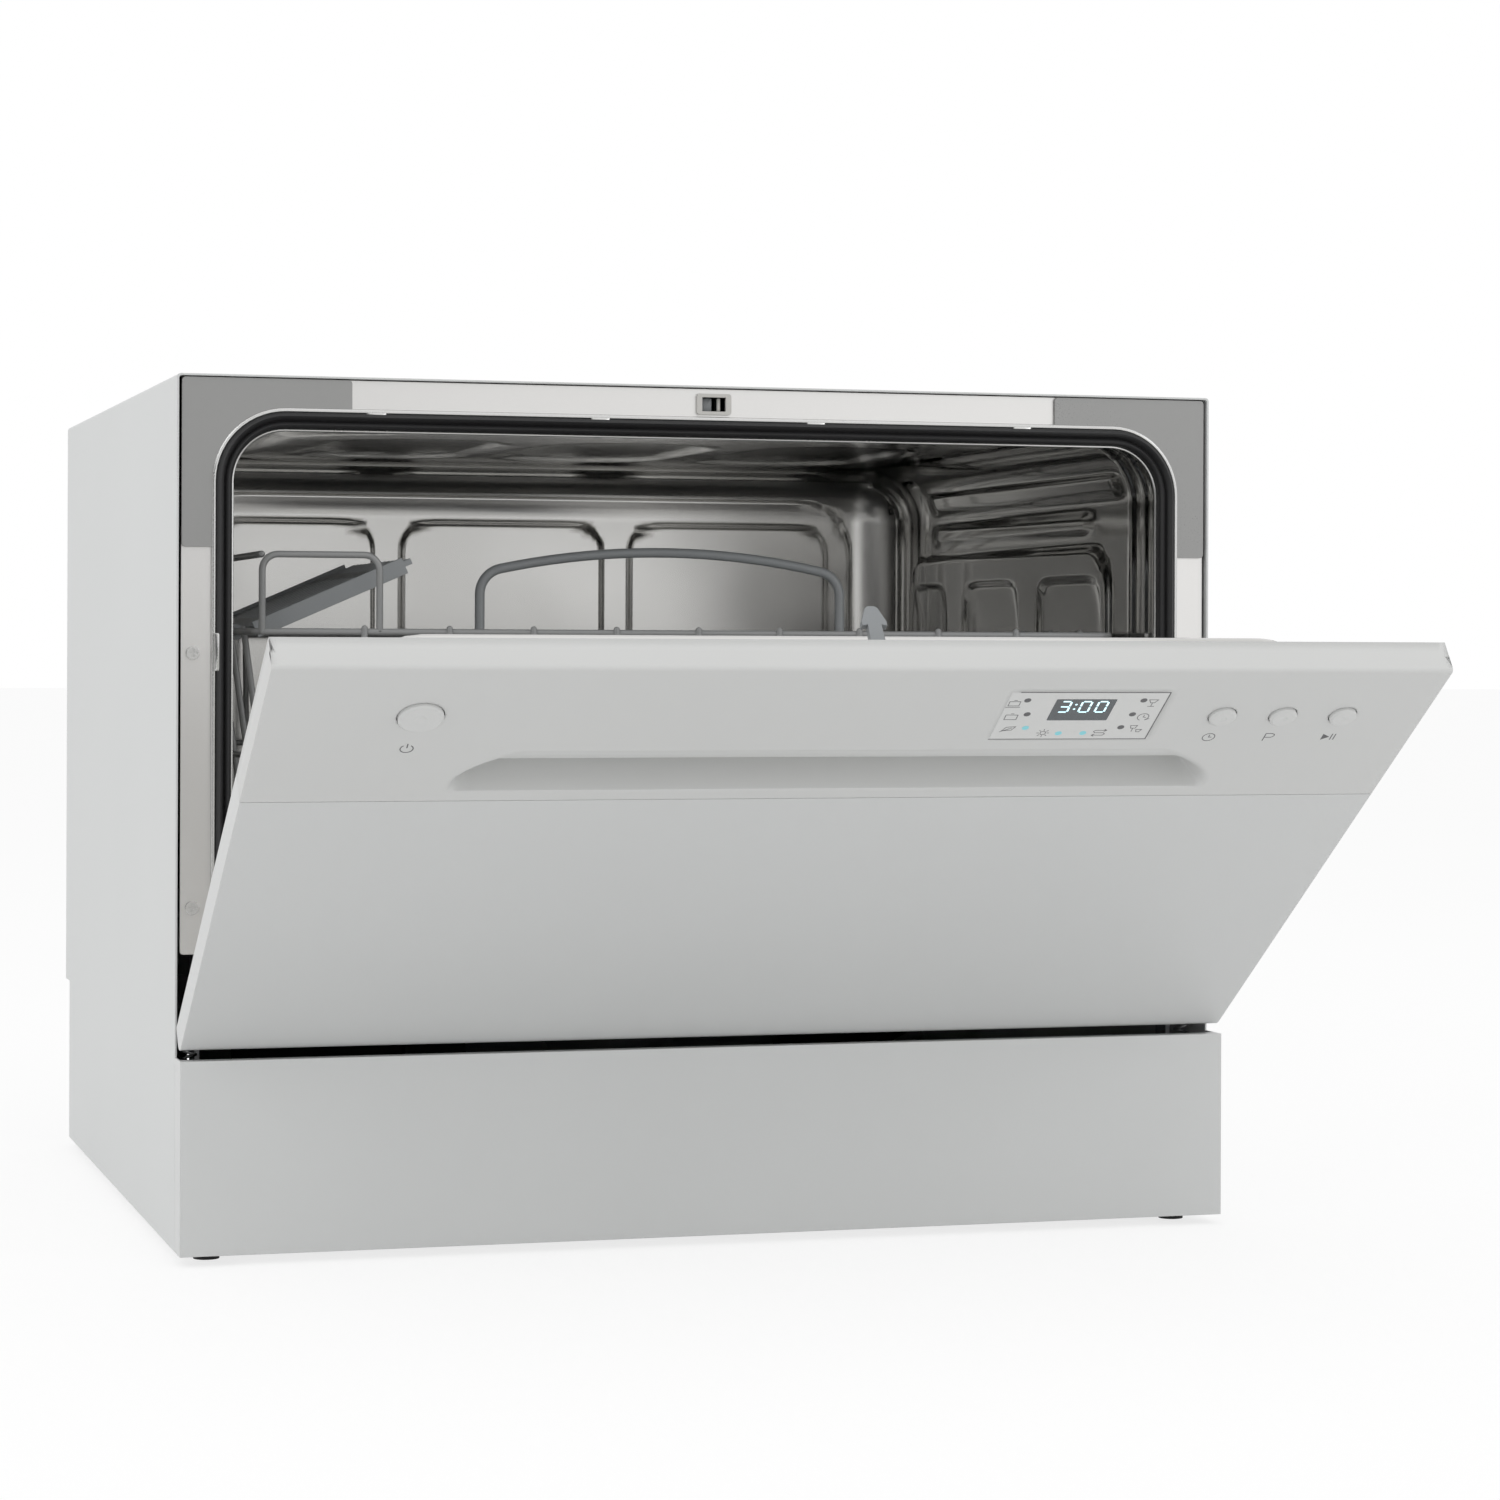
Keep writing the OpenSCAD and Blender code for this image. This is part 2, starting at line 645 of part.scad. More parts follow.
// Plastic beam under the mouth between the hinge brackets
module front_crossmember() color([0.17, 0.17, 0.18]) at_origin() {
    beam_half = ear_x - 6;
    block(-beam_half, beam_half, frame_y + 1, frame_y + 3.5, door_z0, floor_under);
    block(-beam_half, beam_half, frame_y + 3.5, frame_y + 22, floor_under - 2.5, floor_under);
    for (x = [-beam_half + 2.5 : (2 * beam_half - 5) / 6 : beam_half - 2.4])
        block(x - 1.25, x + 1.25, frame_y + 3.5, frame_y + 22, door_z0, floor_under - 2.5);
    both_sides() block(beam_half - 3, ear_x, post_y, frame_y + 22, door_z0, floor_under - 6);
}

// Funnel under the tub with the well for the pumps
module sump() color([0.5, 0.5, 0.52]) at_origin() difference() {
    union() {
        rod_z(0, wash_y, sump_z0, floor_under, sump_r + sump_t);
        rod_z(0, wash_y, well_z0, sump_z0, well_r);
        rod_x(volute_x1, 0, wash_y, pump_z, 14);
        rod_x(0, drain_pump_x, wash_y, pump_z, 11);
    }
    rod_z(0, wash_y, sump_z0 + sump_t, floor_under + 1, sump_r);
    rod_z(0, wash_y, well_z0 + sump_t, sump_z0 + sump_t + 1, well_r - sump_t);
    rod_x(volute_x1 - 1, 0, wash_y, pump_z, 11.5);
    rod_x(0, drain_pump_x + 1, wash_y, pump_z, 8.5);
}

// Flat perforated filter plate over the sump
module coarse_filter() color([0.7, 0.7, 0.7]) at_origin() difference() {
    rod_z(0, wash_y, tub_floor, tub_floor + 1.2, sump_r + 4);
    rod_z(filter_pos[0], filter_pos[1], tub_floor - 1, tub_floor + 2, filter_r + part_gap);
    rod_z(0, wash_y, tub_floor - 1, tub_floor + 2, post_r + 3);
    for (a = [20 : 30 : 290]) rotate_about(a) rod_z(54, wash_y, tub_floor - 1, tub_floor + 2, 3);
}

module rotate_about(a) translate([0, wash_y, 0]) rotate([0, 0, a]) translate([0, -wash_y, 0]) children();

// Cup-shaped fine filter with a grip, turned to lock
module fine_filter() color([0.62, 0.63, 0.62]) at_origin() difference() {
    union() {
        rod_z(filter_pos[0], filter_pos[1], sump_z0 + 26, tub_floor + 1.2, filter_r);
        rod_z(filter_pos[0], filter_pos[1], tub_floor + 1.6, tub_floor + 3.4, filter_r + 2);
        rod_z(filter_pos[0], filter_pos[1], tub_floor + 1, tub_floor + 2, filter_r - 1);
        translate([filter_pos[0] - 2, filter_pos[1] - 18, tub_floor + 3]) cube([4, 36, 8]);
    }
    for (x = [-1, 1]) rod_z(filter_pos[0] + x * 13, filter_pos[1], sump_z0 + 28, tub_floor + 4, 9);
}

// Tubular heating ring in the sump
module heater() color([0.45, 0.44, 0.42]) at_origin() translate([0, wash_y, 0]) {
    hz = sump_z0 + 14;
    translate([0, 0, hz]) rotate_extrude() translate([60, 0]) circle(3.5);
    for (x = [-8, 8]) rod_z(x, 59.4, sump_z0 + sump_t, hz, 3.5);
}

// Pump motor and spiral housing on the floor pan's supports
module circulation_pump() color([0.35, 0.36, 0.38]) at_origin() difference() {
    union() {
        rod_x(volute_x0, volute_x1, wash_y, pump_z, volute_r);
        rod_x(motor_x0, volute_x0, wash_y, pump_z, motor_r);
        rod_z((volute_x0 + volute_x1) / 2, wash_y + volute_r - pump_neck_r - 1, pump_z, floor_under,
            pump_neck_r);
    }
    rod_x(volute_x0 + 4, volute_x1 - 4, wash_y, pump_z, volute_r - 4);
    rod_x(volute_x0 - 30, volute_x0 + 5, wash_y, pump_z, shaft_r + run_gap);
    rod_x(volute_x1 - 5, volute_x1 + 1, wash_y, pump_z, 11.5);
}

// Impeller on its shaft inside the pump
module pump_impeller() color([0.3, 0.3, 0.3]) at_origin() {
    x0 = volute_x0 + 7;
    rod_x(x0, x0 + 3, wash_y, pump_z, volute_r - 12);
    rod_x(volute_x0 - 29, x0 + 16, wash_y, pump_z, shaft_r);
    for (a = [0 : 60 : 300]) translate([x0 + 3, wash_y, pump_z]) rotate([a, 0, 0])
        translate([0, shaft_r - 1, -1]) cube([12, volute_r - 14 - shaft_r, 2]);
}

// Small pump that empties the sump
module drain_pump() color([0.3, 0.32, 0.36]) at_origin() {
    rod_x(drain_pump_x, drain_pump_x + 22, wash_y, pump_z, drain_pump_r);
    rod_x(drain_pump_x + 22, drain_pump_x + 60, wash_y, pump_z, drain_pump_r - 4);
    rod_y(drain_pump_x + 11, wash_y, wash_y + drain_pump_r + 14, pump_z, 9);
}

// Salt and resin tank whose neck comes up through the tub's floor
module softener_tank() color([0.85, 0.85, 0.82]) at_origin() difference() {
    union() {
        rod_z(softener_pos[0], softener_pos[1], 24, floor_under - 8, softener_r);
        rod_z(softener_pos[0], softener_pos[1], floor_under - 8, tub_floor + 3, neck_r);
    }
    rod_z(softener_pos[0], softener_pos[1], 30, floor_under - 12, softener_r - 3);
    rod_z(softener_pos[0], softener_pos[1], floor_under - 13, tub_floor + 4, neck_r - 4);
}

// Screw cap on the salt filler
module salt_cap() color([0.88, 0.88, 0.86]) at_origin() {
    sx = softener_pos[0];
    sy = softener_pos[1];
    rod_z(sx, sy, tub_floor + 3 + part_gap, tub_floor + 8, neck_r + 3);
    rod_z(sx, sy, tub_floor - 8, tub_floor + 4, neck_r - 4 - run_gap);
    block(sx - 20, sx + 20, sy - 2.5, sy + 2.5, tub_floor + 8, tub_floor + 13);
}

// Solenoid valve with its threaded spout in the rear recess
module inlet_valve() color([0.9, 0.9, 0.88]) at_origin() difference() {
    union() {
        rod_y(valve_x, recess_y - 34, recess_y + 16, port_z, inlet_r);
        rod_y(valve_x, recess_y - 34, recess_y - sheet_t, port_z, inlet_r + 3);
        block(valve_x - 15, valve_x + 15, recess_y - 60, recess_y - 34, port_z - 15, port_z + 15);
    }
    rod_y(valve_x, recess_y - 20, recess_y + 17, port_z, inlet_r - 3);
}

// Drain spigot in the rear recess
module drain_outlet() color([0.25, 0.25, 0.26]) at_origin() difference() {
    union() {
        rod_y(drain_x, recess_y - 24, recess_y + 18, port_z, drain_r);
        rod_y(drain_x, recess_y - 24, recess_y - sheet_t, port_z, drain_r + 3);
    }
    rod_y(drain_x, recess_y - 25, recess_y + 19, port_z, drain_r - 2);
}

// Grommet for the mains cable
module cable_gland() color([0.08, 0.08, 0.08]) at_origin() difference() {
    union() {
        rod_y(gland_x, recess_y - sheet_t - 4, recess_y + 10, port_z, gland_r + 2.9);
        rod_y(gland_x, recess_y, recess_y + 3, port_z, gland_r + 6);
    }
    rod_y(gland_x, recess_y - sheet_t - 5, recess_y + 11, port_z, gland_r);
}

// Flat water chamber at the right of the tub
module air_break() color([0.82, 0.84, 0.84]) at_origin() {
    x0 = tub_x + tub_t;
    along_x(x0, x0 + air_t) soft_rect(air_y0, air_y1, tub_floor + 30, tub_top - 45, 12);
    for (i = [0 : 2]) {
        y = air_ring_y0 + i * (air_ring_l + air_ring_gap);
        along_x(x0 + air_t, x0 + air_t + 2)
            ring_2d(y, y + air_ring_l, tub_floor + 60, tub_top - 70, 10, 4);
    }
}

// Water hoses fixed inside the cabinet
module internal_hoses() color([0.2, 0.2, 0.21]) at_origin() {
    hx = tub_x + tub_t + air_t / 2;
    run([[valve_x, recess_y - 60, port_z], [valve_x, recess_y - 80, port_z],
        [hx, recess_y - 80, port_z + 30], [hx, hose_y, tub_floor - 22],
        [hx, hose_y, tub_floor + 30]], hose_r);
    dx = drain_pump_x + 11;
    run([[dx, wash_y + drain_pump_r + 14, pump_z], [dx, wash_y + 70, pump_z],
        [drain_x, recess_y - 60, port_z], [drain_x, recess_y - 24, port_z]], drain_hose_r);
}

// Fixed post that feeds and carries the spray arm
module spray_arm_post() color([0.5, 0.52, 0.53]) at_origin() {
    rod_z(0, wash_y, well_z0 + sump_t, arm_z + arm_h + 3, post_r);
    rod_z(0, wash_y, arm_z - 6, arm_z - part_gap, post_r + 3);
    rod_z(0, wash_y, arm_z + arm_h + part_gap, arm_z + arm_h + 3, post_r + 3);
}

// Two-bladed spray arm with jet holes
module spray_arm() color([0.55, 0.57, 0.58]) at_origin() translate([0, wash_y, 0]) difference() {
    union() {
        for (a = [0, 180]) rotate([0, 0, a + 18]) hull() {
            translate([14, 0, arm_z]) cylinder(h = arm_h - 3, r = 17, $fn = 32);
            translate([spray_r - 14, 0, arm_z]) cylinder(h = 4, r = 14, $fn = 32);
            translate([spray_r * 0.55, 0, arm_z]) cylinder(h = arm_h - 1, r = 12, $fn = 32);
        }
        translate([0, 0, arm_z]) cylinder(h = arm_h, r = post_r + 10);
    }
    translate([0, 0, arm_z - 1]) cylinder(h = arm_h + 2, r = post_r + run_gap);
    for (a = [18, 198], d = [45, 80, 110, 140, 165]) rotate([0, 0, a])
        translate([d, d % 2 == 0 ? 4 : -4, arm_z + 2]) cylinder(h = arm_h, r = 1.6);
}

// Foam float in the floor pan that lifts with leaked water
module base_float() color([0.93, 0.93, 0.9]) at_origin() {
    rod_z(float_pos[0], float_pos[1], tray_top + part_gap, tray_top + 16, float_r);
    rod_z(float_pos[0], float_pos[1], tray_top + 15, tray_top + 34, 3);
}

// Guide and switch over the float
module float_switch() color([0.15, 0.15, 0.4]) at_origin() translate([float_pos[0], float_pos[1], tray_top])
    difference() {
        union() {
            block(-34, 12, -9, 9, 24, 28);
            block(-34, -28, -9, 9, 0, 62);
            block(-28, 10, -7, 7, 42, 56);
        }
        rod_z(0, 0, 20, 30, 3.4);
    }

// Ledges at both sides of the tub that the rack runs on
module rack_rails() color([0.6, 0.6, 0.6]) at_origin() both_sides() {
    block(rail_in, tub_x, tub_y0 + 14, tub_y1 - tub_r - 2, rail_z, rail_z + rail_t);
    block(rail_in, rail_in + 2, tub_y0 + 14, tub_y1 - tub_r - 2, rail_z - 4, rail_z);
}

// Felt blankets on the tub's outside
module tub_felt() color([0.2, 0.2, 0.2]) at_origin() {
    felt_t = 6;
    side_x = -tub_x - tub_t;
    roof_z = tub_top + tub_t;
    block(-tub_x + tub_r, tub_x - tub_r, tub_y0 + 40, tub_y1 - tub_r, roof_z, roof_z + felt_t);
    block(side_x - felt_t, side_x, tub_y0 + 12, tub_y1 - tub_r, tub_floor + tub_r, tub_top - tub_r);
}

// Cross-head screws in the frame and the seal's channel
module frame_screws() color([0.7, 0.7, 0.7]) at_origin() {
    for (s = [-1, 1], z = frame_screw_zs)
        translate([s * (frame_half - 6), frame_y - trim_t, z]) screw_y(3.4, trim_t);
}

// Screw head that faces the front, with a cross
module screw_y(r, h) difference() {
    rotate([-90, 0, 0]) cylinder(h = h, r = r);
    for (s = [[r * 1.2, 0.9], [0.9, r * 1.2]])
        translate([-s[0] / 2, -0.1, -s[1] / 2]) cube([s[0], 0.8, s[1]]);
}

// Side view of the skin, with its rolled bottom edge
module skin_profile(g) {
    translate([g, door_z0 + door_roll_r]) square([door_shell_d - g, seam_z - door_z0 - door_roll_r]);
    translate([door_roll_r, door_z0 + g]) square([door_shell_d - door_roll_r, door_roll_r]);
    translate([door_roll_r, door_z0 + door_roll_r]) circle(door_roll_r - g);
}

// Steel skin of the door, folded back at its sides and rolled under at the bottom
module door_outer_panel() color([0.8, 0.81, 0.81]) on_door() difference() {
    along_x(-door_half, door_half) skin_profile(0);
    difference() {
        along_x(-door_half + skin_t, door_half - skin_t) union() {
            skin_profile(skin_t);
            translate([skin_t, door_z0 + 30]) square([door_shell_d, seam_z - door_z0 - 29]);
            translate([door_roll_r, door_z0 + skin_t]) square([door_shell_d, 40]);
        }
        block(-door_half, door_half, 0, 3, seam_z - skin_t, seam_z);
    }
    both_sides() block(ear_x - 3, arm_x + arm_t + 2, skin_t, door_shell_d + 1, door_z0 - 1, door_z0 + 14);
}

// Outline of the handle scoop, narrower at its top, moved out by g
module scoop_outline(g) {
    low_r = 6;
    top_r = 20;
    low_x = scoop_half_low - low_r;
    top_x = scoop_half_top - top_r;
    top_z = scoop_z + scoop_h - top_r;
    polygon(concat(
        [for (a = [180 : 15 : 270]) [-low_x, scoop_z + low_r] + (low_r + g) * [cos(a), sin(a)]],
        [for (a = [270 : 15 : 360]) [low_x, scoop_z + low_r] + (low_r + g) * [cos(a), sin(a)]],
        [for (a = [40 : 10 : 90]) [top_x, top_z] + (top_r + g) * [cos(a), sin(a)]],
        [for (a = [90 : 10 : 140]) [-top_x, top_z] + (top_r + g) * [cos(a), sin(a)]]
    ));
}

// Space of the scoop, deepest just over its lower lip
module scoop_space(g) intersection() {
    along_y(-1, door_shell_d + 6) scoop_outline(g);
    along_x(-half_w, half_w) polygon([
        [-1, scoop_z - 1 - g],
        [2, scoop_z - g],
        [scoop_depth + g, scoop_z + 3 - g],
        [scoop_depth + g, scoop_z + 10],
        [4, scoop_z + scoop_h + g],
        [-1, scoop_z + scoop_h + 1 + g]
    ]);
}

// Side view of the control panel, grown inwards by g
module panel_profile(g) {
    top = door_top - g;
    translate([g, panel_z0 + g]) square([door_shell_d - g, top - edge_r - panel_z0 - g]);
    translate([g + edge_r, top - edge_r - 1]) square([door_shell_d - g - edge_r, edge_r + 1]);
    translate([g + edge_r, top - edge_r]) circle(edge_r);
}

// Plastic control panel with the handle scoop, button holes and the window's seat
module control_panel() color([0.78, 0.79, 0.79]) on_door() difference() {
    union() {
        difference() {
            along_x(-door_half, door_half) panel_profile(0);
            along_x(-door_half + panel_t, door_half - panel_t) union() {
                panel_profile(panel_t);
                translate([panel_t + 2, panel_z0 + panel_t])
                    square([door_shell_d, door_top - panel_z0 - 2 * panel_t]);
            }
        }
        intersection() {
            scoop_space(1.8);
            block(-half_w, half_w, 0, door_shell_d + 4, panel_z0, door_top);
        }
    }
    scoop_space(0);
    rod_y(-power_x, -1, panel_t + 1, row_z, power_r + button_gap);
    for (x = key_xs) rod_y(x, -1, panel_t + 1, row_z, key_r + button_gap);
    block(display_x - display_w / 2, display_x + display_w / 2, -1, window_t,
        display_z - display_h / 2, display_z + display_h / 2);
    block(display_x - display_w / 2 + 2, display_x + display_w / 2 - 2, 0, panel_t + 1,
        display_z - display_h / 2 + 2, display_z + display_h / 2 - 2);
}

// Shape of the inner pan, grown by g
module pan_body(g) hull() for (x = [-1, 1], z = [-1, 1]) {
    cx = x * (pan_half - pan_r);
    cz = z < 0 ? pan_z0 + pan_r : pan_top - pan_r;
    rod_y(cx, liner_y + liner_t - 0.01, liner_y + liner_t + 1, cz, pan_r + g, $fn = 32);
    rod_y(cx, pan_d - 1 + g, pan_d + g, cz, pan_r - pan_draft + g, $fn = 32);
}

// Stainless inner side of the door: a flat rim and a pan that enters the tub's mouth
module door_liner() color([0.62, 0.62, 0.62]) on_door() difference() {
    union() {
        along_y(liner_y, liner_y + liner_t)
            soft_rect(-door_half + 2, door_half - 2, door_z0 + 10, door_top - 2.5, edge_r);
        pan_body(0);
    }
    difference() {
        translate([0, -0.5, 0]) pan_body(-liner_t);
        block(-half_w, half_w, 0, liner_y, 0, body_h);
    }
    block(-pan_half + 8, pan_half - 8, liner_y - 1, liner_y + liner_t + 1, pan_z0 + 8, pan_top - 8);
    block(disp_x0 + 2, disp_x1 - 2, pan_d - 5, pan_d + 1, disp_z0 + 2, disp_z1 - 2);
    both_sides() block(ear_x - 3, half_w, liner_y - 1, liner_y + liner_t + 1, door_z0, hinge_z + ear_r + 2);
}

// Arm fixed inside the door, with the hinge bore and the lever for the spring
module hinge_arm() difference() {
    union() {
        along_x(arm_x, arm_x + arm_t) {
            translate([hinge_y, hinge_z]) circle(4.8);
            translate([hinge_y - 3, hinge_z]) square([liner_y - hinge_y + 3, arm_top - hinge_z]);
            translate([hinge_y, hinge_z]) rotate(lever_angle) {
                translate([0, -lever_r]) square([lever_len, 2 * lever_r]);
                translate([lever_len, 0]) circle(lever_r);
            }
        }
        block(ear_x - 8, arm_x, liner_y - 1.5, liner_y, hinge_z + 12, arm_top);
    }
    rod_x(arm_x - 1, arm_x + arm_t + 1, hinge_y, hinge_z, pin_r + run_gap);
}

module hinge_arms() color([0.68, 0.68, 0.66]) on_door() both_sides() hinge_arm();

// Detergent dispenser set into the inner pan
module dispenser_body() color([0.72, 0.73, 0.74]) on_door() difference() {
    union() {
        block(disp_x0 + 2, disp_x1 - 2, pan_d - cup_depth - 4, pan_d, disp_z0 + 2, disp_z1 - 2);
        along_y(pan_d, pan_d + 1.2) soft_rect(disp_x0, disp_x1, disp_z0, disp_z1, 6);
    }
    block(cup_x0, cup_x1, pan_d - cup_depth, pan_d + 2, cup_z0, cup_z1);
    rod_y(cap_x, pan_d - cup_depth, pan_d + 2, cap_z, cap_r - 4);
    block(cup_x0 - 3, cup_x1 + 3, pan_d - lid_seat, pan_d + 2, cup_z0 - 6, cup_z1 + 3);
    rod_x(cup_x0 - 6, cup_x1 + 6, lid_y + lid_t / 2, lid_hinge_z, lid_pin_r + run_gap);
}

// Flap over the detergent cup, hinged along its lower edge
module dispenser_lid() color([0.78, 0.79, 0.8]) on_door() {
    block(cup_x0 - 2, cup_x1 + 2, lid_y, lid_y + lid_t, lid_hinge_z, cup_z1 + 2);
    rod_x(cup_x0 - 5.5, cup_x1 + 5.5, lid_y + lid_t / 2, lid_hinge_z, lid_pin_r);
    rod_x(cup_x0 - 2, cup_x1 + 2, lid_y + lid_t / 2, lid_hinge_z, lid_t / 2);
    block(cup_x1 - 14, cup_x1 - 4, lid_y + lid_t, lid_y + lid_t + 1.6, cup_z1 - 6, cup_z1 + 1);
}

// Quarter-turn cap of the rinse aid filler
module rinse_aid_cap() color([0.3, 0.36, 0.5]) on_door() {
    rod_y(cap_x, pan_d + 1.2 + part_gap, pan_d + 3.4, cap_z, cap_r);
    rod_y(cap_x, pan_d - 8, pan_d + 2, cap_z, cap_r - 4 - run_gap);
    block(cap_x - 11, cap_x + 11, pan_d + 3.4, pan_d + 4.4, cap_z - 1.6, cap_z + 1.6);
}

// Barbed hook on the door's rear side
module latch_hook() color([0.55, 0.56, 0.57]) on_door() {
    hook_z0 = strike_z - 1.9;
    hook_h = 3.4;
    y0 = liner_y + liner_t;
    tip = frame_y + 18;
    block(latch_x - 9, latch_x + 9, y0, y0 + 1.4, hook_z0 - 4, hook_z0 + 6);
    translate([latch_x, 0, hook_z0]) linear_extrude(hook_h) polygon([
        [-3.6, y0 + 1.4], [3.6, y0 + 1.4], [3.2, tip - 10], [5.8, tip - 10.6], [5.9, tip - 8.4],
        [3, tip - 1], [1.5, tip], [-1.5, tip], [-3, tip - 1], [-5.9, tip - 8.4], [-5.8, tip - 10.6],
        [-3.2, tip - 10]
    ]);
}

// Clear window flush with the control panel
module display_window() color([0.83, 0.84, 0.85]) on_door()
    block(display_x - display_w / 2, display_x + display_w / 2, 0, window_t,
        display_z - display_h / 2, display_z + display_h / 2);

// Circuit board behind the control panel, with the display and the switches
module control_board() color([0.12, 0.3, 0.16]) on_door() {
    board_x1 = key_xs[2] + 14;
    block(display_x - display_w / 2 - 8, board_x1, board_y, board_y + board_t, row_z - 17, row_z + 20);
    block(display_x - 16, display_x + 14, panel_t + 0.2, board_y, display_z - 4, display_z + 13);
    for (x = key_xs) block(x - 3, x + 3, board_y - 1.5, board_y, row_z - 3, row_z + 3);
    block(-power_x - 16, -power_x + 16, board_y, board_y + board_t, row_z - 16, row_z + 16);
    block(-power_x - 4, -power_x + 4, board_y - 1.5, board_y, row_z - 4, row_z + 4);
    for (x = [display_x - display_w / 2 - 5, board_x1 - 4, -power_x - 13, -power_x + 13])
        rod_y(x, panel_t, board_y, row_z - 12, 2);
    block(-power_x + 16, display_x - display_w / 2 - 8, board_y, board_y + board_t, row_z + 8, row_z + 14);
}

// Small lamps around the display
led_spots = [[-29, 14], [-29, 1], [-28, -13], [-12, -15.5], [2, -15.5], [28, 13], [26, 1], [24, -12]];

module indicator_leds() color([0.3, 0.75, 0.85]) on_door()
    for (p = led_spots) rod_y(display_x + p[0], window_t, board_y, display_z + p[1], 1.3);

// Damping sheet inside the steel skin
module door_felt() color([0.15, 0.15, 0.15]) on_door()
    block(-pan_half, pan_half, skin_t, skin_t + 2, door_z0 + 22, seam_z - 14);

// Rubber strip along the lower edge of the inner pan
module lower_door_seal() color([0.07, 0.07, 0.07]) on_door() {
    block(-ear_x + 14, ear_x - 14, liner_y + liner_t, liner_y + liner_t + 3.5, hinge_z + 18, tub_floor - 1);
    block(-ear_x + 14, ear_x - 14, liner_y + liner_t, liner_y + liner_t + 5, hinge_z + 24, hinge_z + 26);
}

// Screws that hold the inner side to the shell
module door_screws() color([0.7, 0.7, 0.7]) on_door()
    for (x = [-door_half + 9, door_half - 9], z = door_screw_zs)
        translate([x, liner_y + liner_t + 1.5, z]) rotate([0, 0, 180]) screw_y(3.2, 1.5);

// Radius of the ball that leaves a dimple of radius a
function dimple_ball(a) = (a * a + dimple_d * dimple_d) / (2 * dimple_d);

// Push button: a cap with a rounded rim and a finger dimple, and the collar that holds it in
module push_button(x, r) on_door() difference() {
    union() {
        rod_y(x, -button_proud + 0.8, panel_t + part_gap + 1, row_z, r);
        translate([x, -button_proud + 0.8, row_z]) rotate([90, 0, 0])
            cylinder(h = 0.8, r1 = r, r2 = r - 1.2);
        rod_y(x, panel_t + part_gap, panel_t + part_gap + 1, row_z, r + flange_grow);
        rod_y(x, panel_t, board_y - 1.5 - button_travel - part_gap, row_z, 2);
    }
    translate([x, -button_proud + dimple_d - dimple_ball(r * 0.3), row_z]) sphere(dimple_ball(r * 0.3));
}

module power_button() color([0.82, 0.83, 0.83]) push_button(-power_x, power_r);
module delay_button() color([0.82, 0.83, 0.83]) push_button(key_xs[0], key_r);
module program_button() color([0.82, 0.83, 0.83]) push_button(key_xs[1], key_r);
module start_button() color([0.82, 0.83, 0.83]) push_button(key_xs[2], key_r);

// Side view of one wire panel of the rack: a rim wire, a middle wire and the uprights at the places in spots
module rack_end(y0, y1, spots) {
    wire([-rack_half - wire_r, y0, rack_rim_z], [rack_half + wire_r, y0, rack_rim_z]);
    mid_y = y0 + sign(y1 - y0) * mid_in;
    wire([-mid_half - wire_r, mid_y, mid_z], [mid_half + wire_r, mid_y, mid_z]);
    for (x = spots) wire([x, y0, rack_rim_z], [x, y1, rack_z - wire_r]);
}

// One side of the rack, of which the left rim is round enough to carry the shelf's rings
module rack_side(s, spots) {
    end = wire_r + weld;
    rim_x = s * rack_half;
    mid_x = s * mid_half;
    wire([rim_x, rack_front + end, rack_rim_z], [rim_x, rack_rear - end, rack_rim_z], wire_r, 12);
    wire([mid_x, rack_front + mid_in + end, mid_z], [mid_x, rack_rear - mid_in - end, mid_z]);
    for (y = spots) wire([rim_x, y, rack_rim_z], [s * base_half, y, cross_z - wire_r]);
}

// Coated wire rack of welded panels, with two rows of plate prongs and a raised loop at the front left
module rack_basket() color([0.45, 0.46, 0.47]) at_origin() {
    across = [for (i = [-side_wires : side_wires]) i * wire_pitch];
    along = [for (y = [upright_y0 : wire_pitch : base_rear - 20]) y];
    end = wire_r + weld;
    rack_end(rack_front, base_front, across);
    rack_end(rack_rear, base_rear, across);
    rack_side(-1, along);
    rack_side(1, along);
    for (x = across) wire([x, base_front + end, rack_z], [x, base_rear - end, rack_z]);
    for (y = along) wire([-base_half + end, y, cross_z], [base_half - end, y, cross_z]);
    prong_z = rack_z + wire_d + weld;
    for (y = prong_ys) {
        wire([-prong_half, y, prong_z], [prong_half, y, prong_z]);
        for (i = [-side_wires : side_wires - 1]) {
            x = (i + 0.5) * wire_pitch;
            wire([x, y, prong_z], [x, y + 6, rack_z + tine_h]);
        }
    }
    post = -rack_half + 4;
    foot = rack_rim_z + end;
    wire([post, rack_front, foot], [post, rack_front, loop_z]);
    wire([post, rack_front, loop_z], [post + loop_x, rack_front, loop_z]);
    wire([post + loop_x, rack_front, loop_z], [post + loop_x, rack_front, foot]);
    wire([post, rack_front + end, loop_z], [post, guard_y1, loop_z]);
    wire([post, guard_y1, loop_z], [-rack_half, guard_y1, foot + 0.2]);
}

// Four glides between the rack and the ledges
module rack_glides() color([0.8, 0.8, 0.78]) at_origin() both_sides() for (i = [0, 6]) {
    y = upright_y0 + i * wire_pitch;
    z0 = rail_z + rail_t + part_gap;
    tilt = (rack_half - base_half) * (z0 + glide_h - rack_z) / (rack_rim_z - rack_z);
    block(base_half + tilt + wire_r, tub_x - 3, y - 13, y + 13, z0, z0 + glide_h);
}

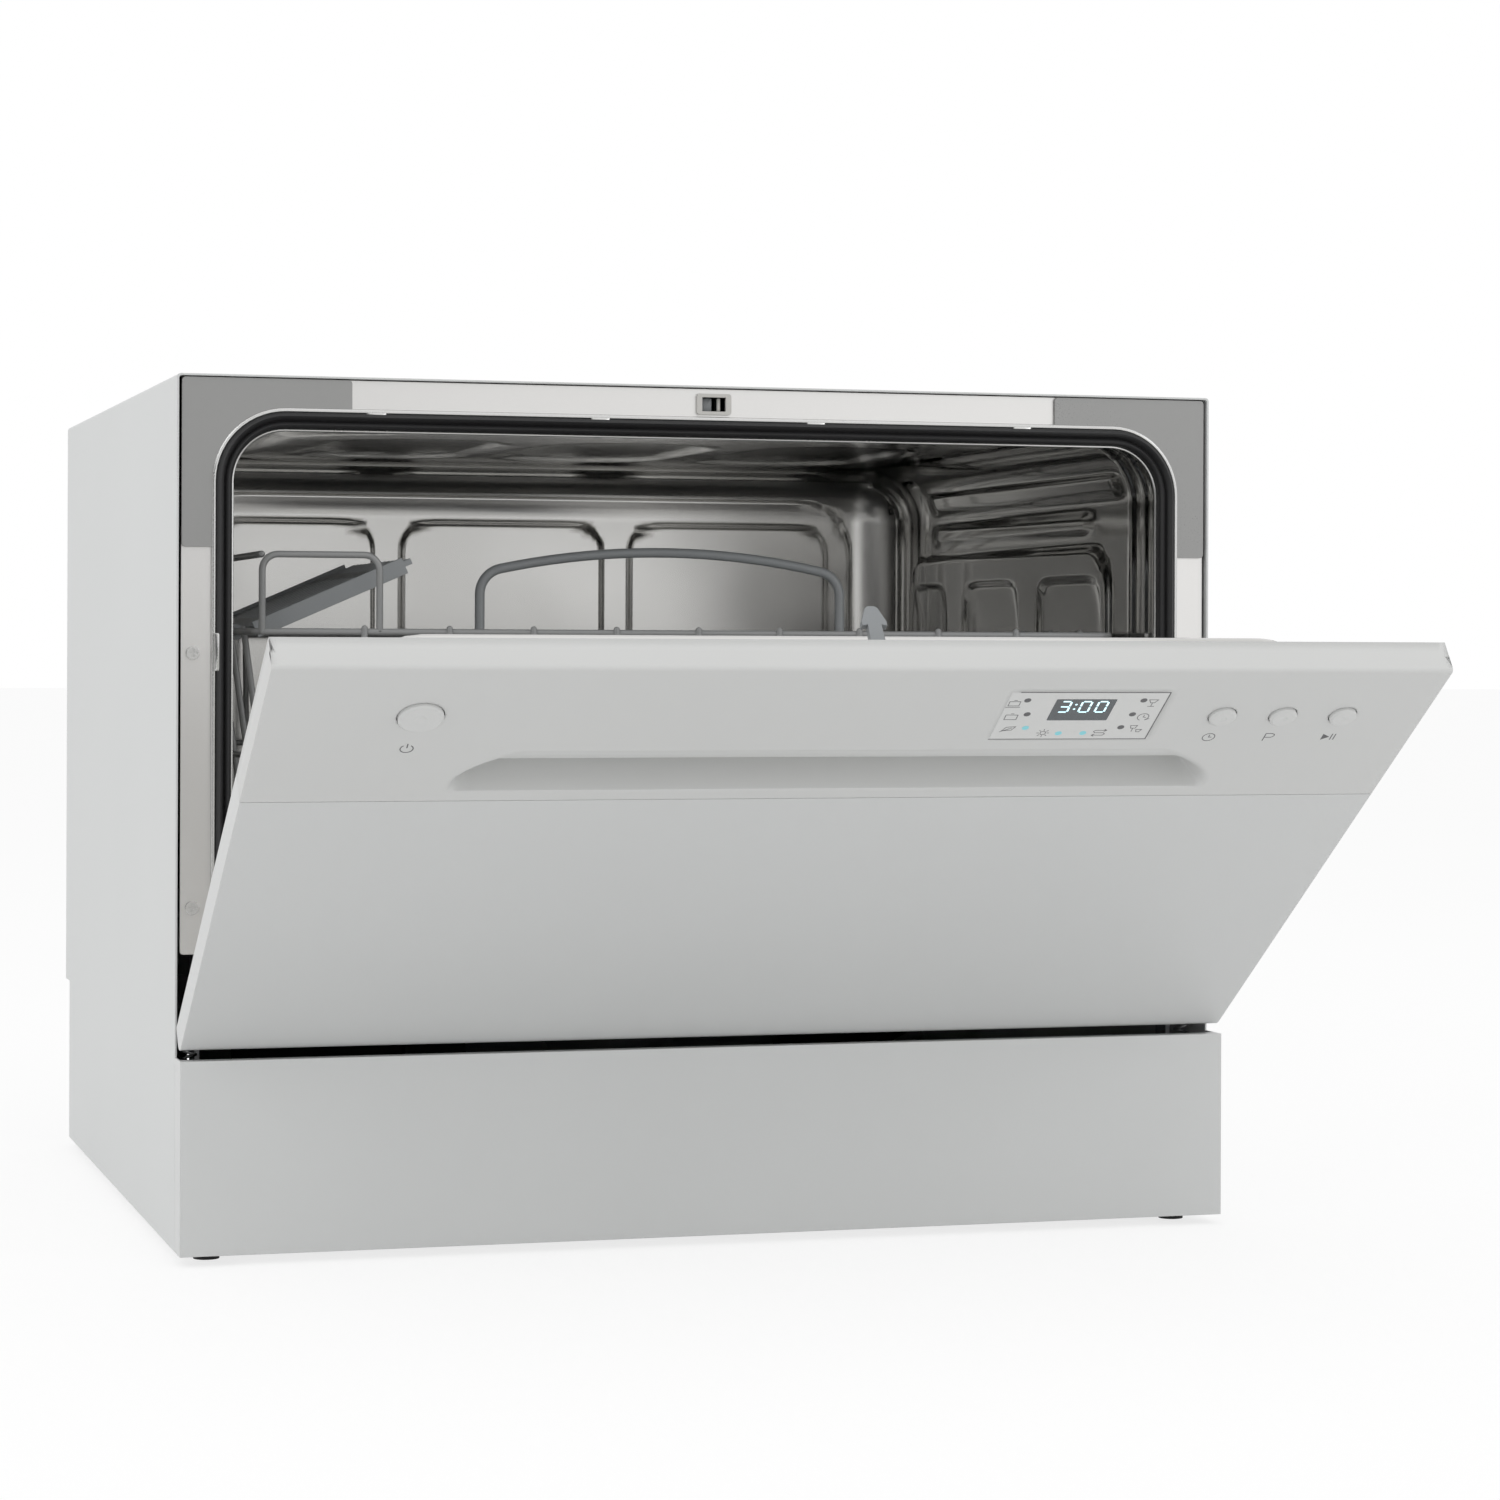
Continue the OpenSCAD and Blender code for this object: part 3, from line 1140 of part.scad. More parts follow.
// Hinged shelf for cups over the left side of the rack
module cup_shelf() color([0.5, 0.52, 0.53]) at_origin() translate([-rack_half, 0, rack_rim_z])
    rotate([0, -shelf_slope, 0]) {
    root = shelf_ring_r - 0.4;
    difference() {
        union() {
            for (y = [upright_y0 + 16, upright_y0 + 2 * wire_pitch + 16])
                rod_y(0, y, y + 12, 0, shelf_ring_r);
            block(root, shelf_len - 14, shelf_y0, shelf_y1, -shelf_t / 2, shelf_t / 2);
            for (y = [shelf_y0 : 11 : shelf_y1 - 4])
                block(shelf_len - 15, shelf_len, y, y + 4, -shelf_t / 2, shelf_t / 2);
            block(root, shelf_len - 4, shelf_y0, shelf_y0 + 3, -5, shelf_t / 2 + 2);
            block(root, shelf_len - 4, shelf_y1 - 3, shelf_y1, -5, shelf_t / 2 + 2);
        }
        rod_y(0, shelf_y0 - 1, shelf_y1 + 1, 0, wire_r + run_gap);
        for (y = [shelf_y0 + 8 : 15 : shelf_y1 - 14])
            block(16, shelf_len - 22, y, y + 8, -shelf_t, shelf_t);
    }
}

// Cutlery basket of three cells with slotted walls and a bowed handle
module cutlery_basket() color([0.36, 0.37, 0.38]) at_origin() translate([basket_x0, basket_y0, basket_z0]) {
    w = basket_wall;
    cell = (basket_l - w) / cells;
    bow_r = 14;
    rod_r = 2.6;
    arch_a = 12;
    arch_r = (basket_l / 2 - rod_r - bow_r) / sin(arch_a) + bow_r;
    arch_z = basket_h + basket_bow - arch_r;
    bend_z = arch_z + (arch_r - bow_r) * cos(arch_a);
    difference() {
        cube([basket_l, basket_w, basket_h]);
        for (i = [0 : cells - 1])
            translate([i * cell + w, w, w]) cube([cell - w, basket_w - 2 * w, basket_h]);
        for (i = [0 : cells - 1], j = [0 : 5], z = [10, 50])
            translate([i * cell + w + 5 + j * 10, -1, z]) cube([5, basket_w + 2, 32]);
    }
    translate([0, basket_w / 2, 0]) {
        for (x = [rod_r, basket_l - rod_r]) translate([x, 0, basket_h - 24]) {
            cylinder(h = bend_z - basket_h + 24, r = rod_r, $fn = 24);
            translate([-rod_r, -8, 0]) cube([2 * rod_r, 16, 20]);
        }
        for (m = [0, 1]) translate([m * basket_l, 0, 0]) mirror([1 - m, 0, 0])
            translate([-rod_r - bow_r, 0, bend_z]) rotate([90, 0, 0])
                rotate_extrude(angle = 90 - arch_a) translate([bow_r, 0]) circle(rod_r, $fn = 24);
        translate([basket_l / 2, 0, arch_z]) rotate([90, 0, 0]) rotate([0, 0, 90 - arch_a])
            rotate_extrude(angle = 2 * arch_a, $fn = 360) translate([arch_r, 0]) circle(rod_r, $fn = 24);
    }
}

outer_casing();
back_panel();
base_tray();
feet();
kick_plate();
tub();
front_frame();
corner_trim_left();
corner_trim_right();
door_gasket();
strike_bezel();
latch_housing();
door_switch();
hinge_brackets();
hinge_pins();
hinge_springs();
front_crossmember();
sump();
coarse_filter();
fine_filter();
heater();
circulation_pump();
pump_impeller();
drain_pump();
softener_tank();
salt_cap();
inlet_valve();
drain_outlet();
cable_gland();
air_break();
internal_hoses();
spray_arm_post();
spray_arm();
base_float();
float_switch();
rack_rails();
tub_felt();
frame_screws();
door_outer_panel();
control_panel();
door_liner();
hinge_arms();
dispenser_body();
dispenser_lid();
rinse_aid_cap();
latch_hook();
display_window();
control_board();
indicator_leds();
door_felt();
lower_door_seal();
door_screws();
power_button();
delay_button();
program_button();
start_button();
rack_basket();
rack_glides();
cup_shelf();
cutlery_basket();
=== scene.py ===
# Looks of the countertop dishwasher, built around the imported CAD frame.
# Shapes are written in millimetres of the cabinet's drawing, where Y = 0 is the kick plate's face,
# or of the closed door, and the two matrices below put them where they stand.
import json
import math

import bmesh
import bpy
import numpy as np
from mathutils import Matrix, Vector


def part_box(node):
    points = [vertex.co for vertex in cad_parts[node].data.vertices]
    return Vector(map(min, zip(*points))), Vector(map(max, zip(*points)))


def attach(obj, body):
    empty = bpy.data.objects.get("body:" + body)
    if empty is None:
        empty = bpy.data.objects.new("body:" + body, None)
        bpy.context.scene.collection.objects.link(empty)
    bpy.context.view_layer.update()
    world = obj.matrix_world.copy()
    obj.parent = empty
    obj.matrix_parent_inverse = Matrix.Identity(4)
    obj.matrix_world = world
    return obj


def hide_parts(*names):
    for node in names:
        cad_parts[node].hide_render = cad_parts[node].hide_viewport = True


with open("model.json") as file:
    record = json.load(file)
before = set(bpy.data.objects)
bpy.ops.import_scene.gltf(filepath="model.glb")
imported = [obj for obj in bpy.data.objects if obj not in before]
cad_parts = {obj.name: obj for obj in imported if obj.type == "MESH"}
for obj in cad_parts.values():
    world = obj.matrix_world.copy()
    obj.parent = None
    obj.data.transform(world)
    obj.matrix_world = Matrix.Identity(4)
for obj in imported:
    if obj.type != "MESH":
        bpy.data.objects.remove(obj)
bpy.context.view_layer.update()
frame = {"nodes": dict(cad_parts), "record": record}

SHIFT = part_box("kick_plate")[0].y * 1000
CABINET = Matrix.Scale(0.001, 4) @ Matrix.Translation((0, SHIFT, 0))
HINGE = Vector((0, 6, 111.5))
DOOR_OPEN = math.radians(55)
DOOR = (CABINET @ Matrix.Translation(HINGE) @ Matrix.Rotation(DOOR_OPEN, 4, "X")
        @ Matrix.Translation(-HINGE))
DOOR_OUT = (DOOR.to_3x3() @ Vector((0, -1, 0))).normalized()
WHITE = (1, 1, 1, 1)


# Camera, light and floor

def set_camera():
    """The camera solved from the photograph, its lens in the photograph's pixels."""
    photo, focal, principal_row = 1500, 3780.254, 654.543
    yaw, roll = math.radians(16.563), math.radians(0.206)
    forward = Vector((math.sin(yaw), math.cos(yaw), 0))
    right = forward.cross(Vector((0, 0, 1)))
    up = right.cross(forward)
    right, up = (right * math.cos(roll) + up * math.sin(roll),
                 up * math.cos(roll) - right * math.sin(roll))
    data = bpy.data.cameras.new("camera")
    data.sensor_width = 36
    data.lens = focal / photo * data.sensor_width
    data.shift_y = (principal_row - photo / 2) / photo
    data.clip_end = 50
    camera = bpy.data.objects.new("camera", data)
    bpy.context.scene.collection.objects.link(camera)
    place = Matrix((right, up, -forward)).transposed().to_4x4()
    place.translation = Vector((-0.534988, (-1846.114 + SHIFT) / 1000, 0.300191))
    camera.matrix_world = place
    bpy.context.scene.camera = camera


class Nodes:
    """Short hand for a material's node tree."""

    def __init__(self, tree):
        self.tree = tree

    def new(self, kind, **values):
        node = self.tree.nodes.new("ShaderNode" + kind)
        inputs = values.pop("inputs", {})
        for key, value in values.items():
            setattr(node, key, value)
        for key, value in inputs.items():
            self.set(node, key, value)
        return node

    def set(self, node, key, value):
        socket = node.inputs[key]
        if isinstance(value, bpy.types.NodeSocket):
            self.tree.links.new(value, socket)
        else:
            socket.default_value = value

    def noise(self, coords, scale, detail=2.0, rough=0.5, stretch=None):
        if stretch:
            coords = self.new("Mapping", inputs={"Vector": coords, "Scale": stretch}).outputs[0]
        return self.new("TexNoise", inputs={"Vector": coords, "Scale": scale, "Detail": detail,
                                            "Roughness": rough}).outputs["Fac"]

    def ramp(self, value, low, high, to_low, to_high):
        node = self.new("MapRange", inputs={"Value": value, "From Min": low, "From Max": high,
                                            "To Min": to_low, "To Max": to_high})
        return node.outputs["Result"]

    def math(self, kind, a, b=0.0):
        return self.new("Math", operation=kind, inputs={0: a, 1: b}).outputs[0]

    def mix(self, factor, a, b):
        return self.new("Mix", data_type="RGBA", inputs={0: factor, 6: a, 7: b}).outputs[2]

    def blend(self, factor, a, b):
        return self.new("MixShader", inputs={0: factor, 1: a.outputs[0], 2: b.outputs[0]})

    def output(self, kind, shader):
        self.new(kind, inputs={0: shader.outputs[0]})


def empty_nodes(owner):
    """The emptied node tree of a material or world."""
    owner.use_nodes = True
    owner.node_tree.nodes.clear()
    return Nodes(owner.node_tree)


def tint(color, factor):
    return tuple(min(1, c * factor) for c in color) + (1,)


def material(name, color, rough, metallic=0.0, vary=0.04, vary_scale=8.0, rough_vary=0.05,
             bump=0.0, bump_scale=900.0, stretch=None, edge=0.0, painted_edge_highlight=0.0, **sockets):
    """Painted, moulded or metal finish: colour and roughness vary softly over the surface, bump is the
    height in metres of its fine texture, edge rounds the shading of sharp edges, painted_edge_highlight
    lightens the colour of sharp edges as a painted highlight."""
    mat = bpy.data.materials.new(name)
    mat.diffuse_color = tuple(color) + (1,)
    n = empty_nodes(mat)
    coords = n.new("TexCoord").outputs["Object"]
    soft = n.noise(coords, vary_scale, 3)
    fine = n.noise(coords, bump_scale, 2, 0.55, stretch)
    shade = n.mix(n.ramp(soft, 0.3, 0.7, 0, 1), tint(color, 1 - vary), tint(color, 1 + vary))
    shade = n.mix(n.ramp(fine, 0.35, 0.75, 0, 0.5), shade, tint(color, 1 - vary * 1.5))
    # painted highlight: the colour is lightened along sharp edges, found by the Bevel normal
    if painted_edge_highlight:
        bevel = n.new("Bevel", samples=4, inputs={"Radius": 0.0015}).outputs[0]
        normal = n.new("NewGeometry").outputs["Normal"]
        sharp = n.new("VectorMath", operation="DOT_PRODUCT",
                      inputs={0: bevel, 1: normal}).outputs["Value"]
        shade = n.mix(n.ramp(sharp, 0.7, 0.98, painted_edge_highlight, 0), shade, tint(color, 1.5))
    shader = n.new("BsdfPrincipled", inputs={"Base Color": shade, "Metallic": metallic})
    for key, value in sockets.items():
        n.set(shader, key.replace("_", " "), value)
    n.set(shader, "Roughness", n.ramp(n.math("ADD", soft, n.math("MULTIPLY", fine, 0.5)), 0.4, 1.1,
                                      max(0.02, rough - rough_vary), min(1, rough + rough_vary)))
    normal = None
    if edge:
        normal = n.new("Bevel", samples=6, inputs={"Radius": edge}).outputs[0]
    if bump:
        values = {"Height": fine, "Distance": bump, "Strength": 1.0}
        if normal:
            values["Normal"] = normal
        normal = n.new("Bump", inputs=values).outputs[0]
    if normal:
        n.set(shader, "Normal", normal)
    n.output("OutputMaterial", shader)
    return mat


def seen_rays(n):
    """1 for rays that come from the camera, a reflection or clear glass."""
    path = n.new("LightPath")
    seen = n.math("MAXIMUM", path.outputs["Is Camera Ray"], path.outputs["Is Glossy Ray"])
    return n.math("MAXIMUM", seen, path.outputs["Is Transmission Ray"])


def lamp(name, where, aim, size, power):
    data = bpy.data.lights.new(name, "AREA")
    data.shape = "RECTANGLE"
    data.size = data.size_y = size
    data.energy = power
    obj = bpy.data.objects.new(name, data)
    bpy.context.scene.collection.objects.link(obj)
    obj.location = where
    obj.rotation_euler = (Vector(aim) - Vector(where)).to_track_quat("-Z", "Y").to_euler()


def set_light():
    """White surroundings that light the scene a little softer than they show, and three large lamps."""
    scene = bpy.context.scene
    scene.view_settings.view_transform = "Standard"
    scene.world = bpy.data.worlds.new("world")
    n = empty_nodes(scene.world)
    soft = n.new("Background", inputs={"Color": WHITE, "Strength": 0.72})
    white = n.new("Background", inputs={"Color": WHITE, "Strength": 1.0})
    n.output("OutputWorld", n.blend(seen_rays(n), soft, white))
    lamp("lamp_left", (-2.2, -1.6, 1.9), (0, 0, 0.2), 1.6, 11)
    lamp("lamp_right", (2.3, -1.9, 1.5), (0, 0, 0.2), 1.6, 10)
    lamp("lamp_top", (0, 0.1, 2.4), (0, 0, 0), 2.2, 3)


def flat_sheet(name, corners, mat):
    mesh = bpy.data.meshes.new(name)
    mesh.from_pydata(corners, [], [(0, 1, 2, 3)])
    mesh.materials.append(mat)
    obj = bpy.data.objects.new(name, mesh)
    bpy.context.scene.collection.objects.link(obj)
    return obj


def set_floor():
    """Pale floor that shows white and keeps the shadow."""
    mat = bpy.data.materials.new("floor")
    n = empty_nodes(mat)
    coords = n.new("TexCoord").outputs["Object"]
    shade = n.mix(n.noise(coords, 3, 3), (0.9, 0.9, 0.9, 1), (0.92, 0.92, 0.92, 1))
    diffuse = n.new("BsdfDiffuse", inputs={"Color": shade})
    glow = n.new("Emission", inputs={"Color": WHITE, "Strength": 1.08})
    n.output("OutputMaterial", n.blend(n.math("MULTIPLY", seen_rays(n), 0.72), diffuse, glow))
    s = 30
    floor = flat_sheet("floor", [(-s, -s, 0), (s, -s, 0), (s, s, 0), (-s, s, 0)], mat)


def set_dark_card():
    """Black studio card left of the camera, seen only in the metal's reflections."""
    mat = bpy.data.materials.new("dark_card")
    n = empty_nodes(mat)
    coords = n.new("TexCoord").outputs["Object"]
    shade = n.mix(n.noise(coords, 1.5, 2), (0.02, 0.02, 0.02, 1), (0.06, 0.06, 0.06, 1))
    n.output("OutputMaterial", n.new("BsdfPrincipled", inputs={"Base Color": shade, "Roughness": 0.9}))
    left, right, y, low, high = -3.2, -0.35, -2.4, 0.02, 2.6
    corners = [(left, y, low), (right, y, low), (right, y, high), (left, y, high)]
    card = flat_sheet("dark_card", corners, mat)
    card.visible_camera = False
    card.visible_diffuse = False
    card.visible_shadow = False
    card.visible_transmission = False


# Mesh helpers

class Shape:
    """Vertices and faces of a piece, gathered from simple parts."""

    def __init__(self):
        self.verts = []
        self.faces = []

    def add(self, verts, faces):
        first = len(self.verts)
        self.verts.extend(tuple(v) for v in verts)
        self.faces.extend(tuple(i + first for i in face) for face in faces)
        return self

    def ring_strip(self, rings, closed=True, caps=True, around=False):
        """Skin over equal rings of points. closed joins each ring's ends, around joins last to first."""
        count = len(rings[0])
        first = len(self.verts)
        for ring in rings:
            self.verts.extend(tuple(p) for p in ring)
        spans = len(rings) if around else len(rings) - 1
        for i in range(spans):
            a = first + i * count
            b = first + (i + 1) % len(rings) * count
            for j in range(count if closed else count - 1):
                k = (j + 1) % count
                self.faces.append((a + j, a + k, b + k, b + j))
        if caps and not around:
            self.faces.append(tuple(first + j for j in reversed(range(count))))
            last = first + (len(rings) - 1) * count
            self.faces.append(tuple(last + j for j in range(count)))
        return self

    def tube(self, points, radius, sides=12, closed=False, round_ends=False):
        """Round tube along points, the same size all the way, with flat or round ends."""
        points = [Vector(p) for p in points]
        count = len(points)
        tangents = []
        for i, p in enumerate(points):
            before = points[i - 1] if i or closed else p
            after = points[(i + 1) % count] if i < count - 1 or closed else p
            tangents.append((after - before).normalized())
        side = tangents[0].orthogonal().normalized()
        across = [side]
        for a, b in zip(tangents, tangents[1:]):
            side = a.rotation_difference(b) @ side
            across.append((side - b * side.dot(b)).normalized())
        twist = 0.0
        if closed:
            back = tangents[-1].rotation_difference(tangents[0]) @ across[-1]
            twist = math.atan2(back.cross(across[0]).dot(tangents[0]), back.dot(across[0]))

        def ring(centre, i, size, turn=0.0):
            other = tangents[i].cross(across[i])
            angles = [turn + 2 * math.pi * j / sides for j in range(sides)]
            return [centre + (across[i] * math.cos(a) + other * math.sin(a)) * size for a in angles]

        def round_end(i, out, angles):
            return [ring(points[i] + tangents[i] * (out * radius * math.sin(math.radians(a))), i,
                         radius * math.cos(math.radians(a))) for a in angles]

        rings = [ring(p, i, radius, twist * i / count) for i, p in enumerate(points)]
        if round_ends:
            rings = round_end(0, -1, (80, 55, 30)) + rings + round_end(-1, 1, (30, 55, 80))
        return self.ring_strip(rings, caps=not closed, around=closed)

    def prism(self, outline, y0, y1, bevel=0.0):
        """Outline in X and Z, given depth from y0 to y1, with bevelled front edges towards y0."""
        rings = []
        if bevel:
            inner = inset(outline, bevel)
            rings.append([(x, y0, z) for x, z in inner])
            rings.append([(x, y0 + bevel * 0.3, z) for x, z in inset(outline, bevel * 0.3)])
            rings.append([(x, y0 + bevel, z) for x, z in outline])
        else:
            rings.append([(x, y0, z) for x, z in outline])
        rings.append([(x, y1, z) for x, z in outline])
        return self.ring_strip(rings)

    def ribbon(self, points, width, y0, y1, closed=False):
        """Flat stroke in X and Z along points."""
        points = [Vector(p) for p in points]
        count = len(points)
        rings = []
        for i, p in enumerate(points):
            a = points[i - 1] if i or closed else p
            b = points[(i + 1) % count] if i < count - 1 or closed else p
            before = (p - a).normalized() if (p - a).length else (b - p).normalized()
            after = (b - p).normalized() if (b - p).length else before
            along = (before + after).normalized()
            normal = Vector((-along.y, along.x))
            half = width / 2 / max(0.5, abs(normal.dot(Vector((-after.y, after.x)))))
            left, right = p + normal * half, p - normal * half
            rings.append([(left.x, y0, left.y), (right.x, y0, right.y),
                          (right.x, y1, right.y), (left.x, y1, left.y)])
        return self.ring_strip(rings, caps=not closed, around=closed)

    def lathe(self, profile, axis_place, sides=32):
        """Profile of (radius, height) turned about Z, then placed by a matrix."""
        rings = []
        for r, h in profile:
            rings.append([tuple(axis_place @ Vector((r * math.cos(2 * math.pi * j / sides),
                                                     r * math.sin(2 * math.pi * j / sides), h)))
                          for j in range(sides)])
        return self.ring_strip(rings)

    def box(self, x0, x1, y0, y1, z0, z1, bevel=0.0):
        outline = rounded(x0, x1, z0, z1, bevel, 3) if bevel else [(x0, z0), (x1, z0), (x1, z1), (x0, z1)]
        return self.prism(outline, y0, y1, min(bevel, (y1 - y0) * 0.45))


def inset(outline, d):
    """Outline moved inwards by d; it runs counter-clockwise in X and Z."""
    result = []
    count = len(outline)
    for i, p in enumerate(outline):
        p = Vector(p)
        a = (p - Vector(outline[i - 1])).normalized()
        b = (Vector(outline[(i + 1) % count]) - p).normalized()
        along = (a + b).normalized()
        normal = Vector((-along.y, along.x))
        scale = max(0.5, normal.dot(Vector((-b.y, b.x))))
        q = p + normal * d / scale
        result.append((q.x, q.y))
    return result


def rounded(x0, x1, z0, z1, r, steps=8):
    """Rectangle with round corners, counter-clockwise."""
    r = min(r, (x1 - x0) / 2, (z1 - z0) / 2)
    points = []
    for cx, cz, start in ((x1 - r, z1 - r, 0), (x0 + r, z1 - r, 90),
                          (x0 + r, z0 + r, 180), (x1 - r, z0 + r, 270)):
        for k in range(steps + 1):
            a = math.radians(start + 90 * k / steps)
            points.append((cx + r * math.cos(a), cz + r * math.sin(a)))
    return points


def fillet(points, radius, steps=6, closed=False):
    """The path through points with round bends."""
    points = [Vector(p) for p in points]
    count = len(points)
    result = []
    for i, b in enumerate(points):
        if not closed and i in (0, count - 1):
            result.append(b)
            continue
        a, c = points[i - 1], points[(i + 1) % count]
        u, v = (a - b).normalized(), (c - b).normalized()
        angle = u.angle(v)
        if angle > 3.1:
            result.append(b)
            continue
        reach = min(radius / math.tan(angle / 2), 0.49 * (a - b).length, 0.49 * (c - b).length)
        centre = b + (u + v).normalized() * reach / math.cos(angle / 2)
        p, q = b + u * reach - centre, b + v * reach - centre
        turn, axis = p.angle(q), p.cross(q).normalized()
        result.extend(centre + Matrix.Rotation(turn * k / steps, 3, axis) @ p for k in range(steps + 1))
    return result


def piece(name, shape, mat, body, place=CABINET, replaces=(), sharp=35, merge=False):
    mesh = bpy.data.meshes.new(name)
    mesh.from_pydata([tuple(place @ Vector(v)) for v in shape.verts], [], shape.faces)
    mesh.materials.append(mat)
    obj = bpy.data.objects.new(name, mesh)
    bpy.context.scene.collection.objects.link(obj)
    work = bmesh.new()
    work.from_mesh(mesh)
    if merge:
        bmesh.ops.remove_doubles(work, verts=work.verts, dist=1e-5)
    bmesh.ops.recalc_face_normals(work, faces=work.faces)
    work.to_mesh(mesh)
    work.free()
    mesh.shade_smooth()
    mesh.set_sharp_from_angle(angle=math.radians(sharp))
    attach(obj, body)
    if replaces:
        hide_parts(*replaces)
    return obj


def quads(w, h):
    """Faces of a grid of w by h points."""
    return [(j * w + i, j * w + i + 1, (j + 1) * w + i + 1, (j + 1) * w + i)
            for j in range(h - 1) for i in range(w - 1)]


def grid(us, vs, place):
    """Grid whose points are place(u, v) as arrays of X, Y and Z."""
    u, v = np.meshgrid(us, vs)
    verts = np.stack([np.broadcast_to(c, u.shape).ravel() for c in place(u, v)], axis=1)
    return verts, quads(len(us), len(vs))


# Lines added around a place where a surface bends, and the least distance that is kept between lines
CLOSE_LINES = (-4, -2.6, -1.3, 0, 1.3, 2.6, 4)
LEAST_GAP = 0.6


def lines(low, high, pitch, extra=()):
    """Grid lines from low to high at that pitch, with closer lines around the places in extra."""
    marks = [low, *np.linspace(low, high, max(2, int((high - low) / pitch) + 1))]
    marks += [e + d for e in extra for d in CLOSE_LINES]
    marks = sorted(m for m in marks if low <= m <= high)
    kept = [marks[0]]
    for m in marks[1:]:
        if m - kept[-1] > LEAST_GAP:
            kept.append(m)
    kept[-1] = high
    return np.array(kept)


def open_round(verts, faces, centre, radius, across):
    """Opens a round hole in a sheet of X and the axis across, its edge moved onto the circle."""
    verts = np.array(verts)
    flat = verts[:, [0, across]] - centre
    d = np.hypot(flat[:, 0], flat[:, 1])
    inside = d < radius
    faces = [f for f in faces if not all(inside[i] for i in f)]
    for i in {i for f in faces for i in f if inside[i]}:
        verts[i, [0, across]] = centre + flat[i] * (radius / max(d[i], 1e-6))
    return verts, faces


def add_sheet(obj, thickness, probe, grow):
    """Gives an open skin its thickness, towards grow at the face that is nearest to probe."""
    face = min(obj.data.polygons, key=lambda f: (f.center - probe).length)
    sheet = obj.modifiers.new("sheet", "SOLIDIFY")
    sheet.thickness = thickness
    sheet.offset = 1 if face.normal.dot(grow) > 0 else -1


def field(u, v, u0, u1, v0, v1, r):
    """Signed distance to a rounded rectangle, negative inside."""
    du = np.abs(u - (u0 + u1) / 2) - (u1 - u0) / 2 + r
    dv = np.abs(v - (v0 + v1) / 2) - (v1 - v0) / 2 + r
    return np.minimum(np.maximum(du, dv), 0) + np.hypot(np.maximum(du, 0), np.maximum(dv, 0)) - r


def rise(d, width):
    """1 inside a field and 0 outside, with a smooth slope of that width around its edge."""
    t = np.clip(0.5 - d / width, 0, 1)
    return t * t * (3 - 2 * t)


def bead(d, half, width):
    """1 on a line of that half width along a field's edge, 0 away from it."""
    return rise(np.abs(d) - half, width)


# Materials, one for each slot of the record, then those of the scene's own pieces

